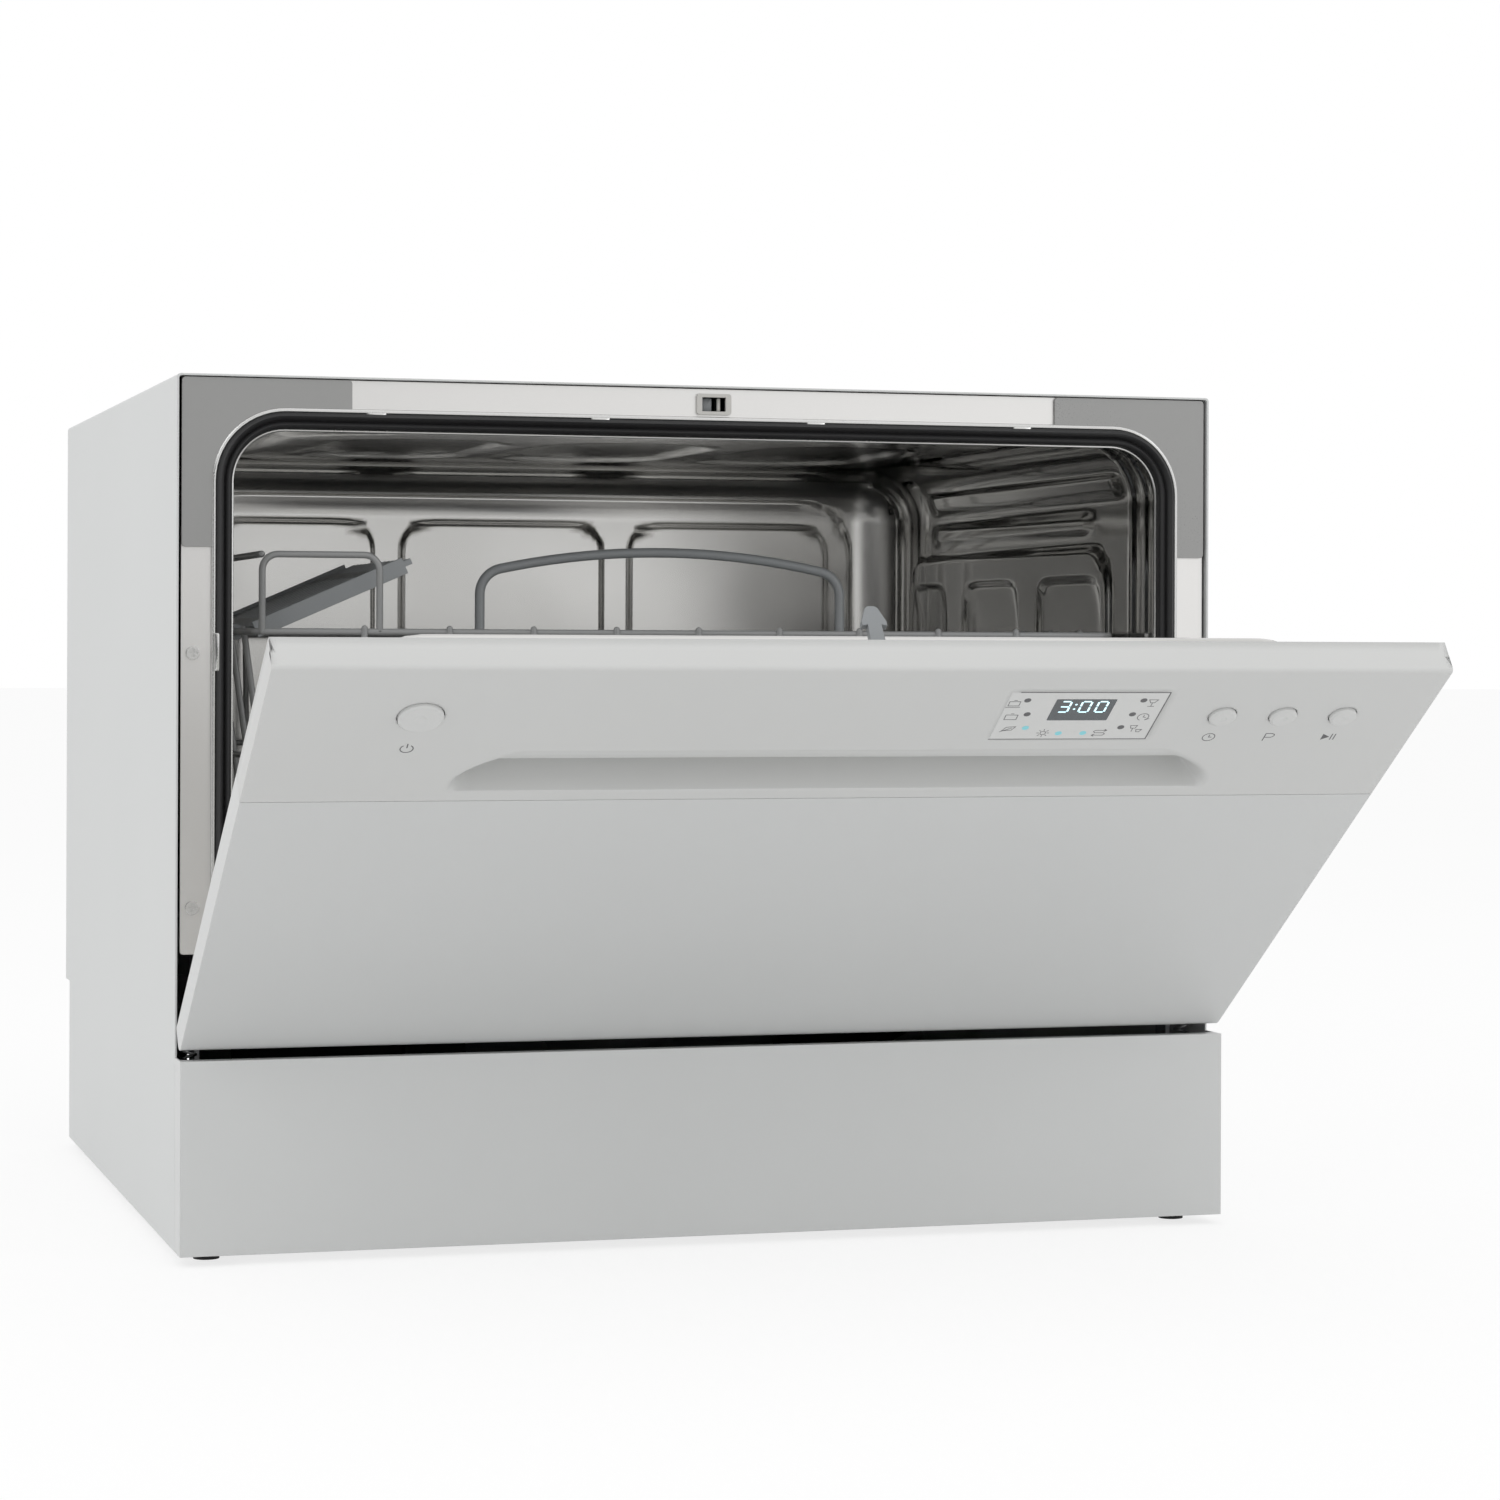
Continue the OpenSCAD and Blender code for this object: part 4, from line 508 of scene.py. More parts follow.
MATS = {
    # the painted_edge_highlight amounts lighten the colour of sharp edges as a painted highlight
    "casing": material("casing", (0.70, 0.715, 0.71), 0.42, vary=0.012, bump=0.00001, bump_scale=1400,
                       edge=0.0007, painted_edge_highlight=0.25, Coat_Weight=0.15, Coat_Roughness=0.3),
    "front_paint": material("front_paint", (0.70, 0.71, 0.705), 0.40, vary=0.012, bump=0.00001,
                            bump_scale=1400, edge=0.0007, painted_edge_highlight=0.25, Coat_Weight=0.15,
                            Coat_Roughness=0.3),
    "panel_plastic": material("panel_plastic", (0.705, 0.71, 0.70), 0.45, vary=0.012, bump=0.000012,
                              bump_scale=2200, edge=0.0005, painted_edge_highlight=0.2),
    "button_plastic": material("button_plastic", (0.72, 0.725, 0.715), 0.34, vary=0.01, bump=0.000006,
                               bump_scale=2200, edge=0.0004),
    "stainless": material("stainless", (0.60, 0.595, 0.58), 0.09, 1.0, vary=0.05, rough_vary=0.03,
                          bump=0.00035, bump_scale=9.0),
    "frame_steel": material("frame_steel", (0.77, 0.762, 0.748), 0.36, 1.0, vary=0.02, rough_vary=0.06,
                            bump=0.00001, bump_scale=500, stretch=(1, 1, 9), edge=0.0004),
    "galvanised": material("galvanised", (0.55, 0.56, 0.57), 0.42, 0.9, vary=0.12, vary_scale=120,
                           bump=0.00002, bump_scale=300, edge=0.0005),
    "trim_grey": material("trim_grey", (0.345, 0.345, 0.34), 0.3, 0.45, vary=0.015, bump=0.000012,
                          bump_scale=2000, edge=0.0004),
    "seal_black": material("seal_black", (0.022, 0.022, 0.023), 0.5, vary=0.15, bump=0.00003,
                           bump_scale=1500),
    "foot_rubber": material("foot_rubber", (0.035, 0.035, 0.035), 0.75, vary=0.2, bump=0.00006,
                            bump_scale=900, edge=0.0008),
    "dark_plastic": material("dark_plastic", (0.035, 0.036, 0.038), 0.5, vary=0.12, bump=0.00003,
                             bump_scale=1500, edge=0.0005),
    "grey_plastic": material("grey_plastic", (0.30, 0.315, 0.325), 0.42, vary=0.05, bump=0.00002,
                             bump_scale=1500, edge=0.0006),
    "pale_plastic": material("pale_plastic", (0.66, 0.67, 0.65), 0.42, vary=0.03, bump=0.00002,
                             bump_scale=1500, edge=0.0006),
    "bezel_plastic": material("bezel_plastic", (0.62, 0.61, 0.58), 0.35, vary=0.02, bump=0.00001,
                              bump_scale=1500, edge=0.0005),
    "spring_steel": material("spring_steel", (0.42, 0.42, 0.43), 0.3, 1.0, vary=0.08, bump=0.00001,
                             bump_scale=2500),
    "screw_steel": material("screw_steel", (0.66, 0.66, 0.65), 0.25, 1.0, vary=0.05, bump=0.00001,
                            bump_scale=2500, edge=0.0003),
    "rack_coat": material("rack_coat", (0.29, 0.295, 0.295), 0.33, vary=0.04, bump=0.00003,
                          bump_scale=700, Coat_Weight=0.3, Coat_Roughness=0.2),
    "felt": material("felt", (0.045, 0.045, 0.045), 0.95, vary=0.35, vary_scale=60, bump=0.0006,
                     bump_scale=900),
    "foam": material("foam", (0.80, 0.80, 0.77), 0.9, vary=0.05, bump=0.0003, bump_scale=1500,
                     edge=0.001),
    "circuit": material("circuit", (0.015, 0.12, 0.045), 0.4, vary=0.3, vary_scale=150, bump=0.00003,
                        bump_scale=1200),
    "display_glass": material("display_glass", (0.72, 0.725, 0.715), 0.22, vary=0.01, bump=0.000004,
                              bump_scale=1500, Coat_Weight=0.5, Coat_Roughness=0.08),
    "lamp": material("lamp", (0.25, 0.6, 0.66), 0.2, vary=0.05, bump=0.000004, bump_scale=1500),
    "lid_plastic": material("lid_plastic", (0.55, 0.565, 0.575), 0.35, vary=0.03, bump=0.00001,
                            bump_scale=1500, edge=0.0006),
    "cap_blue": material("cap_blue", (0.10, 0.14, 0.28), 0.35, vary=0.05, bump=0.00001, bump_scale=1500,
                         edge=0.0006),
    "heater_metal": material("heater_metal", (0.36, 0.34, 0.32), 0.38, 1.0, vary=0.1, bump=0.00002,
                             bump_scale=1200),
}
SATIN = material("satin_steel", (0.70, 0.695, 0.68), 0.24, 1.0, vary=0.04, rough_vary=0.04, bump=0.0003,
                 bump_scale=9.0)
PRINT = material("panel_ink", (0.13, 0.13, 0.135), 0.5, vary=0.1, bump=0.000004, bump_scale=2500)
SCREEN = material("screen", (0.035, 0.05, 0.06), 0.12, vary=0.2, vary_scale=60, bump=0.000002,
                  bump_scale=1500, Coat_Weight=0.6, Coat_Roughness=0.05)
DIGIT = material("digit", (0.75, 0.95, 1.0), 0.3, vary=0.03, bump=0.000002, bump_scale=1500,
                 Emission_Color=(0.55, 0.9, 1.0, 1), Emission_Strength=0.9)
CYAN = material("lamp_on", (0.25, 0.62, 0.68), 0.3, vary=0.05, bump=0.000002, bump_scale=1500,
                Emission_Color=(0.2, 0.7, 0.8, 1), Emission_Strength=0.15)


def dress_nodes():
    for part in frame["record"]["subparts"]:
        for slot in frame["nodes"][part["node"]].material_slots:
            slot.material = MATS[part["material_slot"]]


# Mouth, tub and seal

# The mouth's opening: half its width, its top, corner radius and lower end
MOUTH_HALF, MOUTH_TOP, MOUTH_R, MOUTH_LOW = 255.5, 420.0, 35.0, 151.0


def mouth_path(offset, steps=14):
    """Stations along the mouth's edge from the lower left over the top to the lower right."""
    half, top, r = MOUTH_HALF - offset, MOUTH_TOP - offset, MOUTH_R - offset
    points = [(-half, MOUTH_LOW)]
    points += [(-half, MOUTH_LOW + (top - r - MOUTH_LOW) * k / 4) for k in range(1, 4)]
    points += [(-half + r - r * math.cos(a), top - r + r * math.sin(a))
               for a in (math.pi / 2 * k / steps for k in range(steps + 1))]
    points += [((-half + r) * (1 - k / 4) + (half - r) * k / 4, top) for k in range(1, 4)]
    right = [(-x, z) for x, z in points[:4 + steps + 1]]
    return points + right[::-1]


def around_mouth(profile):
    """Sweeps a closed profile of (offset from the mouth's edge, Y) along the mouth."""
    shape = Shape()
    paths = [mouth_path(offset) for offset, _ in profile]
    rings = [[(paths[k][i][0], profile[k][1], paths[k][i][1]) for k in range(len(profile))]
             for i in range(len(paths[0]))]
    return shape.ring_strip(rings)


# Sections as offsets inwards from the mouth's edge, and Y
SEAL_SECTION = [(0.1, 26), (0.1, 20.4), (0.8, 18.5), (2.1, 17.5), (3.3, 18.3), (3.9, 20.6),
                (4.6, 21.2), (5.3, 19.8), (6.4, 19.2), (7.5, 19.9), (8.0, 21.5), (8.0, 26)]
LIP_SECTION = [(-2, 26.0), (-2, 27.0), (8.2, 27.0), (8.2, 26.0)]


def make_mouth():
    piece("mouth_seal", around_mouth(SEAL_SECTION), MATS["seal_black"], "cabinet",
          replaces=["door_gasket"], sharp=50)
    edge = Shape()
    for offset, y, radius, sides in ((-0.9, 20.9, 1.25, 10), (8.6, 25.4, 0.9, 8)):
        edge.tube([(x, y, z) for x, z in mouth_path(offset)], radius, sides)
    piece("mouth_edge", edge, MATS["screw_steel"], "cabinet")
    clips = Shape()
    for x in (-175.4, -60, 55, 168.8):
        clips.box(x - 5, x + 5, 19.2, 22.5, 417.6, 420.6, 0.6)
    clips.box(-256.4, -252.6, 18.0, 20.5, 291, 310, 0.8)
    screw = [(0.1, 0), (1.3, 0.1), (2.1, 0.9), (2.3, 1.8)]
    for x, z in ((252, 300), (252, 196), (-252, 196)):
        clips.lathe(screw, Matrix.Translation((x, 17.2, z)) @ Matrix.Rotation(math.radians(-90), 4, "X"), 20)
    piece("seal_clips", clips, MATS["screw_steel"], "cabinet")
    catch = Shape()
    catch.box(-5.0, 0.4, 25.2, 26.2, 425.2, 432.0, 0.3)
    piece("strike_plate", catch, MATS["grey_plastic"], "cabinet")
    bar = Shape()
    bar.box(3.0, 4.7, 23.6, 25.4, 425.2, 432.0, 0.4)
    piece("strike_bar", bar, MATS["bezel_plastic"], "cabinet")


TUB_X, TUB_LOW, TUB_TOP, TUB_Y0, TUB_Y1, TUB_R = 248.0, 142.0, 417.0, 26.0, 452.0, 34.0


def tub_wall(us, vs, flat, normal, height):
    """One wall of the tub: flat(u, v) on the sharp box, bent round at the edges, raised by height(u, v)."""
    u, v = np.meshgrid(us, vs)
    p = np.stack([np.broadcast_to(c, u.shape).astype(float) for c in flat(u, v)], axis=-1)
    low = np.array([-TUB_X + TUB_R, -1e6, TUB_LOW + TUB_R])
    high = np.array([TUB_X - TUB_R, TUB_Y1 - TUB_R, TUB_TOP - TUB_R])
    core = np.clip(p, low, high)
    away = p - core
    length = np.linalg.norm(away, axis=-1, keepdims=True)
    p = core + away / np.maximum(length, 1e-9) * TUB_R
    p = p + np.array(normal) * height(u, v)[..., None]
    return p.reshape(-1, 3), quads(len(us), len(vs))


def mouth_steps(y):
    """Two raised bands that run round the tub behind the mouth."""
    return 1.6 * rise(np.abs(y - 40) - 2.2, 3) + 2.2 * rise(np.abs(y - 57) - 2.5, 5)


def back_form(x, z):
    h = 3.0 * rise(field(x, z, -214, 214, 170, 399, 36), 3.2)
    for x0, x1 in ((-198, -95), (-77, 50), (68, 197)):
        h += 2.6 * rise(field(x, z, x0, x1, 190, 381, 17), 3.2)
    return h


def right_form(y, z):
    h = mouth_steps(y)
    h += 3.2 * rise(field(y, z, 90, 424, 190, 360, 26), 6)
    for y0, y1 in ((100, 197), (229, 321), (353, 412)):
        h -= 2.2 * rise(field(y, z, y0, y1, 200, 343, 18), 5)
    h += 3.0 * rise(field(y, z, 70, 380, 388, 401, 6.4), 7)
    h += 2.2 * rise(field(y, z, 120, 380, 369, 379, 5), 6)
    h += 2.5 * rise(np.abs(y - 404) - 5, 12)
    return h * rise(178 - z, 20)


def left_form(y, z):
    h = mouth_steps(y)
    h += 3.2 * rise(field(y, z, 90, 424, 190, 360, 26), 6)
    h += 3.0 * rise(field(y, z, 70, 380, 384, 400, 8), 7)
    return h * rise(178 - z, 20)


def roof_form(x, y):
    h = mouth_steps(y)
    h += 2.4 * rise(field(x, y, -200, 200, 92, 400, 60), 16)
    for middle in (-118, 0, 118):
        h -= 1.8 * rise(field(x, y, middle - 45, middle + 45, 150, 340, 44), 12)
    return h


SUMP, SUMP_R = (0, 239), 72
SALT, SALT_R = (-170, 380), 28


def floor_form(x, y):
    """A ring and eight spokes around the sump, flat around the salt cap."""
    dx, dy = x - SUMP[0], y - SUMP[1]
    d = np.hypot(dx, dy)
    spokes = np.abs(np.sin(np.arctan2(dy, dx) * 4)) * d
    h = 1.5 * rise(np.abs(d - 92) - 3, 6)
    h += 1.4 * rise(spokes - 4, 6) * rise(120 - d, 20) * rise(d - 190, 20)
    return h * rise(46 - np.hypot(x - SALT[0], y - SALT[1]), 10)


def make_tub():
    shape = Shape()
    xs = lines(-TUB_X, TUB_X, 7, (-214, -198, -95, -77, 50, 68, 197, 214))
    ys = lines(TUB_Y0, TUB_Y1, 7, (40, 57, 90, 97, 200, 226, 324, 350, 415, 424))
    zs = lines(TUB_LOW, TUB_TOP, 7, (190, 343, 360, 374, 381, 388, 400))
    shape.add(*tub_wall(xs, zs, lambda u, v: (u, TUB_Y1, v), (0, -1, 0), back_form))
    shape.add(*tub_wall(ys, zs, lambda u, v: (TUB_X, u, v), (-1, 0, 0), right_form))
    shape.add(*tub_wall(ys, zs, lambda u, v: (-TUB_X, u, v), (1, 0, 0), left_form))
    shape.add(*tub_wall(xs, ys, lambda u, v: (u, v, TUB_TOP), (0, 0, -1), roof_form))
    verts, faces = tub_wall(lines(-TUB_X, TUB_X, 5), lines(TUB_Y0, TUB_Y1, 5),
                            lambda u, v: (u, v, TUB_LOW), (0, 0, 1), floor_form)
    verts, faces = open_round(verts, faces, SUMP, SUMP_R, 1)
    shape.add(*open_round(verts, faces, SALT, SALT_R, 1))
    tub = piece("wash_tub", shape, MATS["stainless"], "cabinet", replaces=["tub"], sharp=60,
                merge=True)
    # the rear wall is duller than the others
    tub.data.materials.append(SATIN)
    back_y, above_floor = TUB_Y1 - 12, 160
    for face in tub.data.polygons:
        if face.center.y * 1000 - SHIFT > back_y and face.center.z * 1000 > above_floor:
            face.material_index = 1
    add_sheet(tub, 0.001, Vector((0, (TUB_Y1 + SHIFT) / 1000, 0.27)), Vector((0, 1, 0)))
    piece("tub_lip", around_mouth(LIP_SECTION), MATS["stainless"], "cabinet")


# Rack and baskets

def make_rack():
    rack = Shape()
    wire, pitch = 1.75, 44
    rim, middle, low, cross, loop = 311, 246, 178, 180.45, 350
    over = rim + 1.6

    def bent(points, bend, steps=6, sides=10):
        rack.tube(fillet(points, bend, steps), wire, sides, round_ends=True)

    for half, y0, y1, z, sides in ((232, 48, 430, rim, 12), (222, 53, 425, middle, 10)):
        corners = [(-half, y0, z), (half, y0, z), (half, y1, z), (-half, y1, z)]
        rack.tube(fillet(corners, 7, 6, True), wire, sides, closed=True)
    for i in range(-4, 5):
        x = pitch * i
        bent([(x, 46.6, over), (x, 58, low), (x, 420, low), (x, 431.4, over)], 13)
    for i in range(8):
        y = 92 + pitch * i
        bent([(-230.4, y, over), (-212, y, cross), (212, y, cross), (230.4, y, over)], 13)
    for y in (232, 364):
        rack.tube([(-185, y, 181.5), (185, y, 181.5)], wire, 10, round_ends=True)
        for i in range(8):
            x = pitch * (i - 3.5)
            bent([(x, y, 181.6), (x, y + 2.5, 206), (x, y + 6, 235)], 30, 3)
    # raised loop at the front left, and its bar to the left rim
    bent([(-228, 48, rim), (-228, 48, loop), (-168, 48, loop), (-168, 48, rim)], 8, 7, 12)
    bent([(-228, 50, loop), (-228, 268, loop), (-231.5, 268, rim + 1)], 10, 7, 12)
    piece("wire_rack", rack, MATS["rack_coat"], "rack", replaces=["rack_basket"], sharp=60)


# Door

SCOOP_LOW, SCOOP_HIGH = 340.6, 372.6
ROW_Z = 401.0
KEYS, KEY_HOLE = (172.0, 202.4, 232.8), 6.95
POWER_X, POWER_HOLE = -204.5, 10.65
WINDOW = (63.1, 140.1, 382.0, 420.0)


def scoop_depth(x, z):
    """Depth of the handle scoop behind the panel's face: a curved floor, a lip below and slanted ends."""
    below = SCOOP_HIGH - z
    half = 184 - 23 * np.clip((z - 347) / 26, 0, 1) ** 1.6
    floor = 1.2 * rise(0.35 - below, 1.6) + 17.5 * np.clip((below - 1) / 27, 0, 1) ** 1.7
    lip = rise(SCOOP_LOW + 1.6 - z, 3.0)
    ends = rise(6.5 - half + np.abs(x), 13)
    return floor * lip * ends * (z < SCOOP_HIGH) * (z > SCOOP_LOW)


def spaced(low, high, pitch, fine_spans, fine):
    """Grid lines at one pitch, closer inside the given spans, with their ends kept."""
    marks = [low]
    stops = sorted({low, high}.union(*fine_spans))
    for a, b in zip(stops, stops[1:]):
        inside = any(start <= a and b <= end for start, end in fine_spans)
        count = max(1, round((b - a) / (fine if inside else pitch)))
        marks += [a + (b - a) * k / count for k in range(1, count + 1)]
    return np.array(marks)


def make_panel():
    half, low, top, deep, edge = 274.5, 333.6, 438.0, 16.0, 2.0
    x0, x1, z0, z1 = WINDOW
    xs = spaced(-half, half, 4, [(-217, -192), (-190, -148), (148, 242)], 1.15)
    xs = np.unique(np.append(xs[(xs < x0 - 1) | (xs > x1 + 1)], np.linspace(x0, x1, 20)))
    zs = spaced(low, top - edge, 3, [(338, 376), (388, 414)], 1.0)
    zs = np.unique(np.append(zs[np.minimum(np.abs(zs - z0), np.abs(zs - z1)) > 0.4], [z0, z1]))
    verts, faces = grid(xs, zs, lambda u, v: (u, scoop_depth(u, v), v))
    for x in KEYS:
        verts, faces = open_round(verts, faces, (x, ROW_Z), KEY_HOLE, 2)
    verts, faces = open_round(verts, faces, (POWER_X, ROW_Z), POWER_HOLE, 2)

    def outside_window(face, slack=0.01):
        px, pz = verts[list(face), 0], verts[list(face), 2]
        return (px.min() < x0 - slack or px.max() > x1 + slack
                or pz.min() < z0 - slack or pz.max() > z1 + slack)

    shape = Shape().add(verts, [f for f in faces if outside_window(f)])
    # rounded top edge, then the returns at the top, bottom and sides
    bend = [(edge - edge * math.cos(a), top - edge + edge * math.sin(a))
            for a in (math.pi / 2 * k / 5 for k in range(6))]
    over = [[(x, y, z) for x in xs] for y, z in bend] + [[(x, y, top) for x in xs] for y in (9, deep)]
    shape.ring_strip(over, closed=False, caps=False)
    shape.ring_strip([[(x, y, low) for x in xs] for y in (0, 8, deep)], closed=False, caps=False)
    column = [(0.0, z) for z in zs] + bend[1:]
    for x in (-half, half):
        rings = [[(x, max(y, depth), z) for y, z in column] for depth in (0, 8, deep)]
        shape.ring_strip(rings, closed=False, caps=False)
    panel = piece("handle_panel", shape, MATS["panel_plastic"], "door", DOOR,
                  replaces=["control_panel"], sharp=50, merge=True)
    add_sheet(panel, 0.0022, DOOR @ Vector((0, 0, 430)), -DOOR_OUT)


# Prints: ink lies between these depths, and symbols are drawn around their own centres
INK = (-0.05, 0.05)
SPOT_R = 1.65


def arc(r, start=0, end=360, steps=24):
    angles = [math.radians(start + (end - start) * k / steps) for k in range(steps + 1)]
    return [(r * math.cos(a), r * math.sin(a)) for a in angles]


def moved(points, x, z):
    return [(x + a, z + b) for a, b in points]


RAYS = [[(r * math.cos(math.radians(45 * k)), r * math.sin(math.radians(45 * k))) for r in (1.9, 3.1)]
        for k in range(8)]
# centre, closed strokes and open strokes of the window's symbols
SYMBOLS = [
    # pot
    (66.6, 411.1, [[(-2.6, 1.6), (-2.6, -1.8), (2.6, -1.8), (2.6, 1.6)]],
     [[(-3.6, -2.9), (3.6, -2.9)], [(-0.8, 2.6), (0.8, 2.6)]]),
    # bowl
    (68.3, 400.2, [[(-2.9, 1.7), (-2.9, -2.0), (2.9, -2.0), (2.9, 1.7)]], [[(-0.8, 2.7), (0.8, 2.7)]]),
    # leaf
    (70.0, 390.6, [[(-3.0, -1.6), (-1.4, 1.4), (3.0, 1.8), (1.6, -1.0)]], [[(-3.8, -2.4), (1.4, 0.8)]]),
    # sun
    (87.8, 387.2, [arc(1.3)[:-1]], RAYS),
    # arrows
    (115.4, 387.3, [],
     [[(3.0, 2.0), (-2.2, 2.0), (-3.0, 1.0), (-2.2, 0), (2.2, 0), (3.0, -1.0), (2.2, -2.0), (-3.0, -2.0)],
      [(2.0, 2.9), (3.2, 2.0), (2.0, 1.1)], [(-2.0, -1.1), (-3.2, -2.0), (-2.0, -2.9)]]),
    # glass
    (133.6, 411.6, [[(-2.2, 2.6), (2.2, 2.6), (1.0, 0.2), (-1.0, 0.2)]],
     [[(0, 0.2), (0, -2.6)], [(-1.6, -2.7), (1.6, -2.7)]]),
    # clock
    (132.9, 400.2, [],
     [arc(2.7, 300, 610, 22), [(0.2, 1.6), (0, 0), (1.4, -0.4)], [(1.4, -2.4), (3.4, -1.2)]]),
    # cups
    (132.2, 390.6, [[(-3.0, 2.6), (0.4, 2.6), (-0.2, 0.4), (-2.4, 0.4)],
                    [(0.6, -0.6), (3.4, -0.6), (2.6, -2.6), (1.2, -2.6)]], [[(-1.3, 0.4), (-1.3, -2.4)]]),
]
DARK_SPOTS = ((72.2, 413.7), (75.4, 402.5), (128.7, 413.7), (126.9, 402.4), (124.7, 391.8))
LIT_SPOTS = ((78.0, 391.4), (95.5, 386.9), (107.5, 387.1))
# strokes of a digit on a grid of one step across and two steps up
SEGMENTS = {"a": ((0, 2), (1, 2)), "b": ((1, 2), (1, 1)), "c": ((1, 1), (1, 0)), "d": ((0, 0), (1, 0)),
            "e": ((0, 0), (0, 1)), "f": ((0, 1), (0, 2)), "g": ((0, 1), (1, 1))}
DIGITS = ((89.4, "abcdg"), (99.4, "abcdef"), (107.4, "abcdef"))


def make_prints():
    ink = Shape()

    def stroke(x, z, points, width=0.34, closed=False):
        ink.ribbon(moved(points, x, z), width, *INK, closed)

    def spot(shape, x, z):
        shape.prism(moved(arc(SPOT_R)[:-1], x, z), *INK)

    # power, clock, program and start symbols under the buttons
    stroke(-206.6, 376.0, arc(2.9, 125, 415, 22), 0.5)
    stroke(-206.6, 376.0, [(0, 0.6), (0, 3.9)], 0.55)
    clock, program, start = (x - 0.6 for x in KEYS)
    row = 383.4
    stroke(clock, row, arc(3.0)[:-1], 0.42, True)
    stroke(clock, row, [(0, 2.0), (0, 0), (1.5, 0)], 0.42)
    stroke(program, row, [(-2.2, -3.2), (-2.2, 2.9), (0.8, 2.9), (2.2, 2.2), (2.4, 0.9), (1.2, -0.3),
                          (-2.2, -0.3)], 0.45)
    ink.prism(moved([(-3.2, -2.4), (0.6, 0), (-3.2, 2.4)], start, row), *INK)
    for x in (1.6, 3.2):
        stroke(start + x, row, [(0, -2.4), (0, 2.4)], 0.5)
    # line around the window, open at its left
    x0, x1, z0, z1 = WINDOW
    stroke(0, 0, [(x0 + 4, z1), (x1 - 0.2, z1), (x1 - 0.2, z0 + 0.2), (x0 - 0.5, z0 + 0.2)], 0.5)
    for x, z, closed, opened in SYMBOLS:
        for points in closed:
            stroke(x, z, points, closed=True)
        for points in opened:
            stroke(x, z, points)
    for x, z in DARK_SPOTS:
        spot(ink, x, z)
    piece("panel_symbols", ink, PRINT, "door", DOOR)
    lit = Shape()
    for x, z in LIT_SPOTS:
        spot(lit, x, z)
    piece("lit_lamps", lit, CYAN, "door", DOOR)
    screen = Shape()
    screen.prism(rounded(86.2, 115.6, 397.6, 414.6, 0.6, 3), -0.06, 0.3)
    piece("digit_screen", screen, SCREEN, "door", DOOR)
    digits = Shape()
    front, rear = -0.1, 0.0
    base, width, step, gap = 404.4, 4.6, 4.2, 0.1
    for left, segments in DIGITS:
        for name in segments:
            p, q = map(Vector, SEGMENTS[name])
            short = (q - p) * gap
            ends = [(left + e.x * width, base + e.y * step) for e in (p + short, q - short)]
            digits.ribbon(ends, 0.95, front, rear)
    for z in (2.4, 6.0):
        digits.prism(moved(arc(0.6, steps=12)[:-1], 96.8, base + z), front, rear)
    piece("clock_digits", digits, DIGIT, "door", DOOR)


def make_liner():
    """Stainless inner side of the door: rim, pan with soft edges and a bead, and two pressed fields."""
    half, low, high = 272.5, 114.0, 435.5
    pan_half, pan_low, pan_high = 237.0, 150.0, 410.5
    rim_y, pan_deep = 17, 23

    def face(u, v):
        d = field(u, v, -pan_half, pan_half, pan_low, pan_high, 40)
        t = np.clip(-d / 5.5, 0, 1)
        y = rim_y + pan_deep * (1 - (1 - t) ** 2.2) + 2.6 * bead(d + 7, 1.4, 5)
        y -= 2.0 * rise(field(u, v, -205, 20, 190, 380, 24), 8)
        y -= 2.0 * rise(field(u, v, 36, 205, 325, 385, 18), 8)
        return y

    marks_x = (-pan_half, -pan_half + 4, -205, 20, 36, 205, pan_half - 4, pan_half)
    marks_z = (pan_low, pan_low + 4, 190, 325, 380, 385, pan_high - 4, pan_high)
    dispenser = (42, 188, 217, 303)
    hinge_x, hinge_top = 256.5, 118.5
    xs = np.unique(np.append(lines(-half, half, 6, marks_x), dispenser[:2]))
    zs = np.unique(np.append(lines(low, high, 6, marks_z), dispenser[2:]))
    verts, faces = grid(xs, zs, lambda u, v: (u, face(u, v), v))

    def hole(f, slack=0.1):
        px, pz = verts[list(f), 0], verts[list(f), 2]
        x0, x1, z0, z1 = dispenser
        return (px.min() > x0 - slack and px.max() < x1 + slack and pz.min() > z0 - slack
                and pz.max() < z1 + slack) or (np.abs(px).min() > hinge_x and pz.max() < hinge_top)

    shape = Shape().add(verts, [f for f in faces if not hole(f)])
    liner = piece("door_pan", shape, MATS["stainless"], "door", DOOR,
                  replaces=["door_liner"], sharp=60)
    add_sheet(liner, 0.001, DOOR @ Vector((-100, 38, 280)), DOOR_OUT)


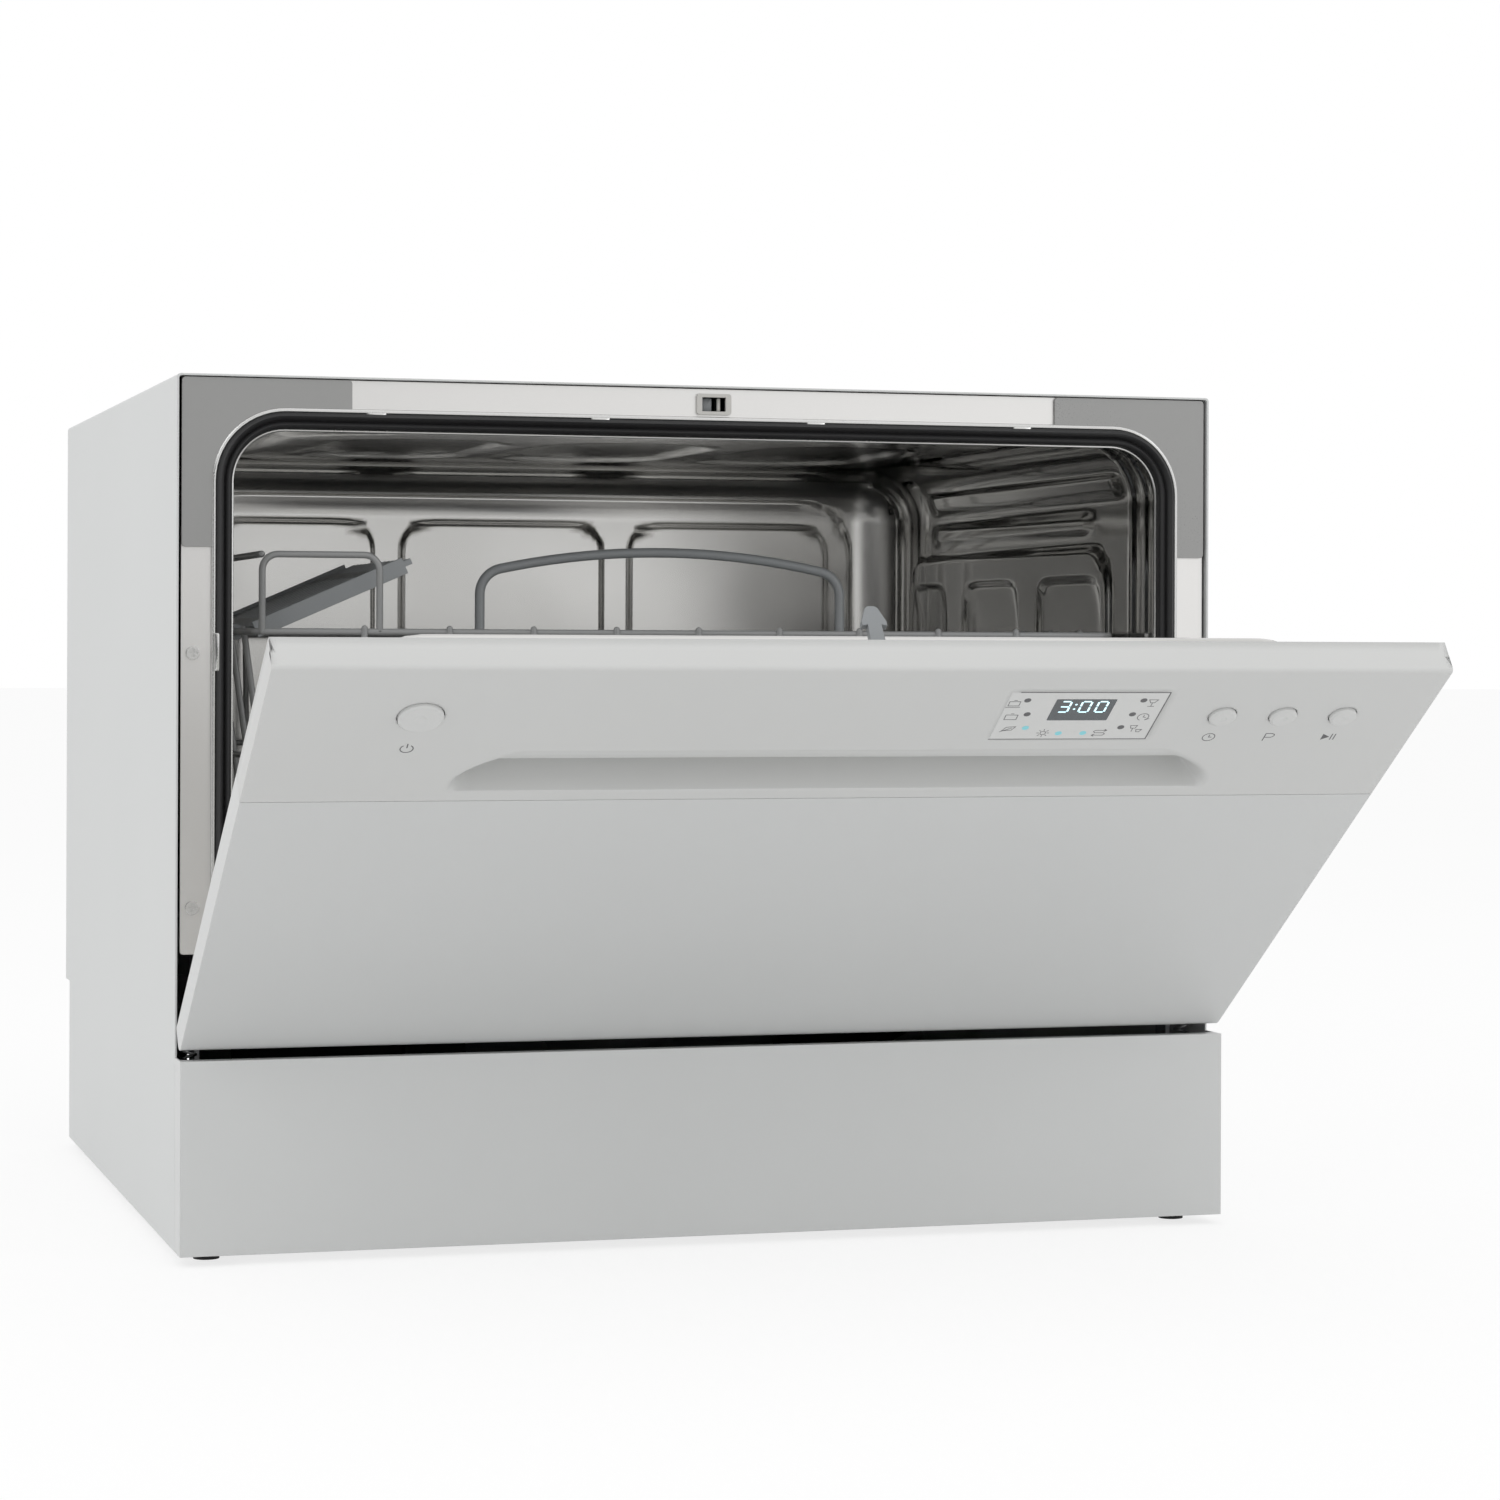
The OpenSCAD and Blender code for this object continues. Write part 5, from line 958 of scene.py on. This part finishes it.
# Inside, bottom and back

def make_springs():
    """Wound hinge springs with a hook at each end, where the CAD has its plain ones."""
    coil = Shape()
    low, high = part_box("hinge_springs")
    z_low, z_high = low.z * 1000, high.z * 1000
    y = (low.y + high.y) * 500 - SHIFT
    radius, turns, per = 3.6, 16, 20
    middle = high.x * 1000 - radius - 0.8
    z0, z1 = z_low + 8, z_high - 9
    for s in (-1, 1):
        wound = [(s * (middle + radius * math.cos(2 * math.pi * i / per)),
                  y + radius * math.sin(2 * math.pi * i / per),
                  z0 + (z1 - z0) * i / (turns * per)) for i in range(turns * per + 1)]
        tail = [(s * middle, y, z_low), (s * middle, y, z0 - 1.6), (s * (middle + 3.4), y, z0 - 0.6)]
        head = [(s * (middle + 3.4), y, z1 + 0.6), (s * middle, y, z1 + 1.6), (s * middle, y, z_high)]
        coil.tube(fillet(tail, 1.4, 4) + wound + fillet(head, 1.4, 4), 0.8, 8)
    piece("wound_springs", coil, MATS["spring_steel"], "cabinet",
          replaces=["hinge_springs"], sharp=60)


INLET_HOSE = [(200, 420, 52), (200, 400, 52), (258, 400, 82), (258, 310, 120), (258, 310, 172)]
DRAIN_HOSE = [(108, 275, 70), (108, 309, 70), (138, 420, 52), (138, 456, 52)]
HOSE_BANDS = (((200, 414, 52), (200, 419, 52), 7.2), ((138, 446, 52), (138, 452, 52), 8.7),
              ((108, 277, 70), (108, 282, 70), 8.7))


def make_hoses():
    hoses = Shape()
    for route, radius in ((INLET_HOSE, 6.5), (DRAIN_HOSE, 8)):
        hoses.tube(fillet(route, 24, 8), radius, 16)
    bands = Shape()
    for start, end, radius in HOSE_BANDS:
        bands.tube([start, end], radius, 24)
    piece("water_hoses", hoses, MATS["dark_plastic"], "cabinet",
          replaces=["internal_hoses"])
    piece("hose_bands", bands, MATS["screw_steel"], "cabinet")


set_camera()
set_light()
set_floor()
set_dark_card()
dress_nodes()
make_mouth()
make_tub()
make_rack()
make_panel()
make_prints()
make_liner()
make_springs()
make_hoses()
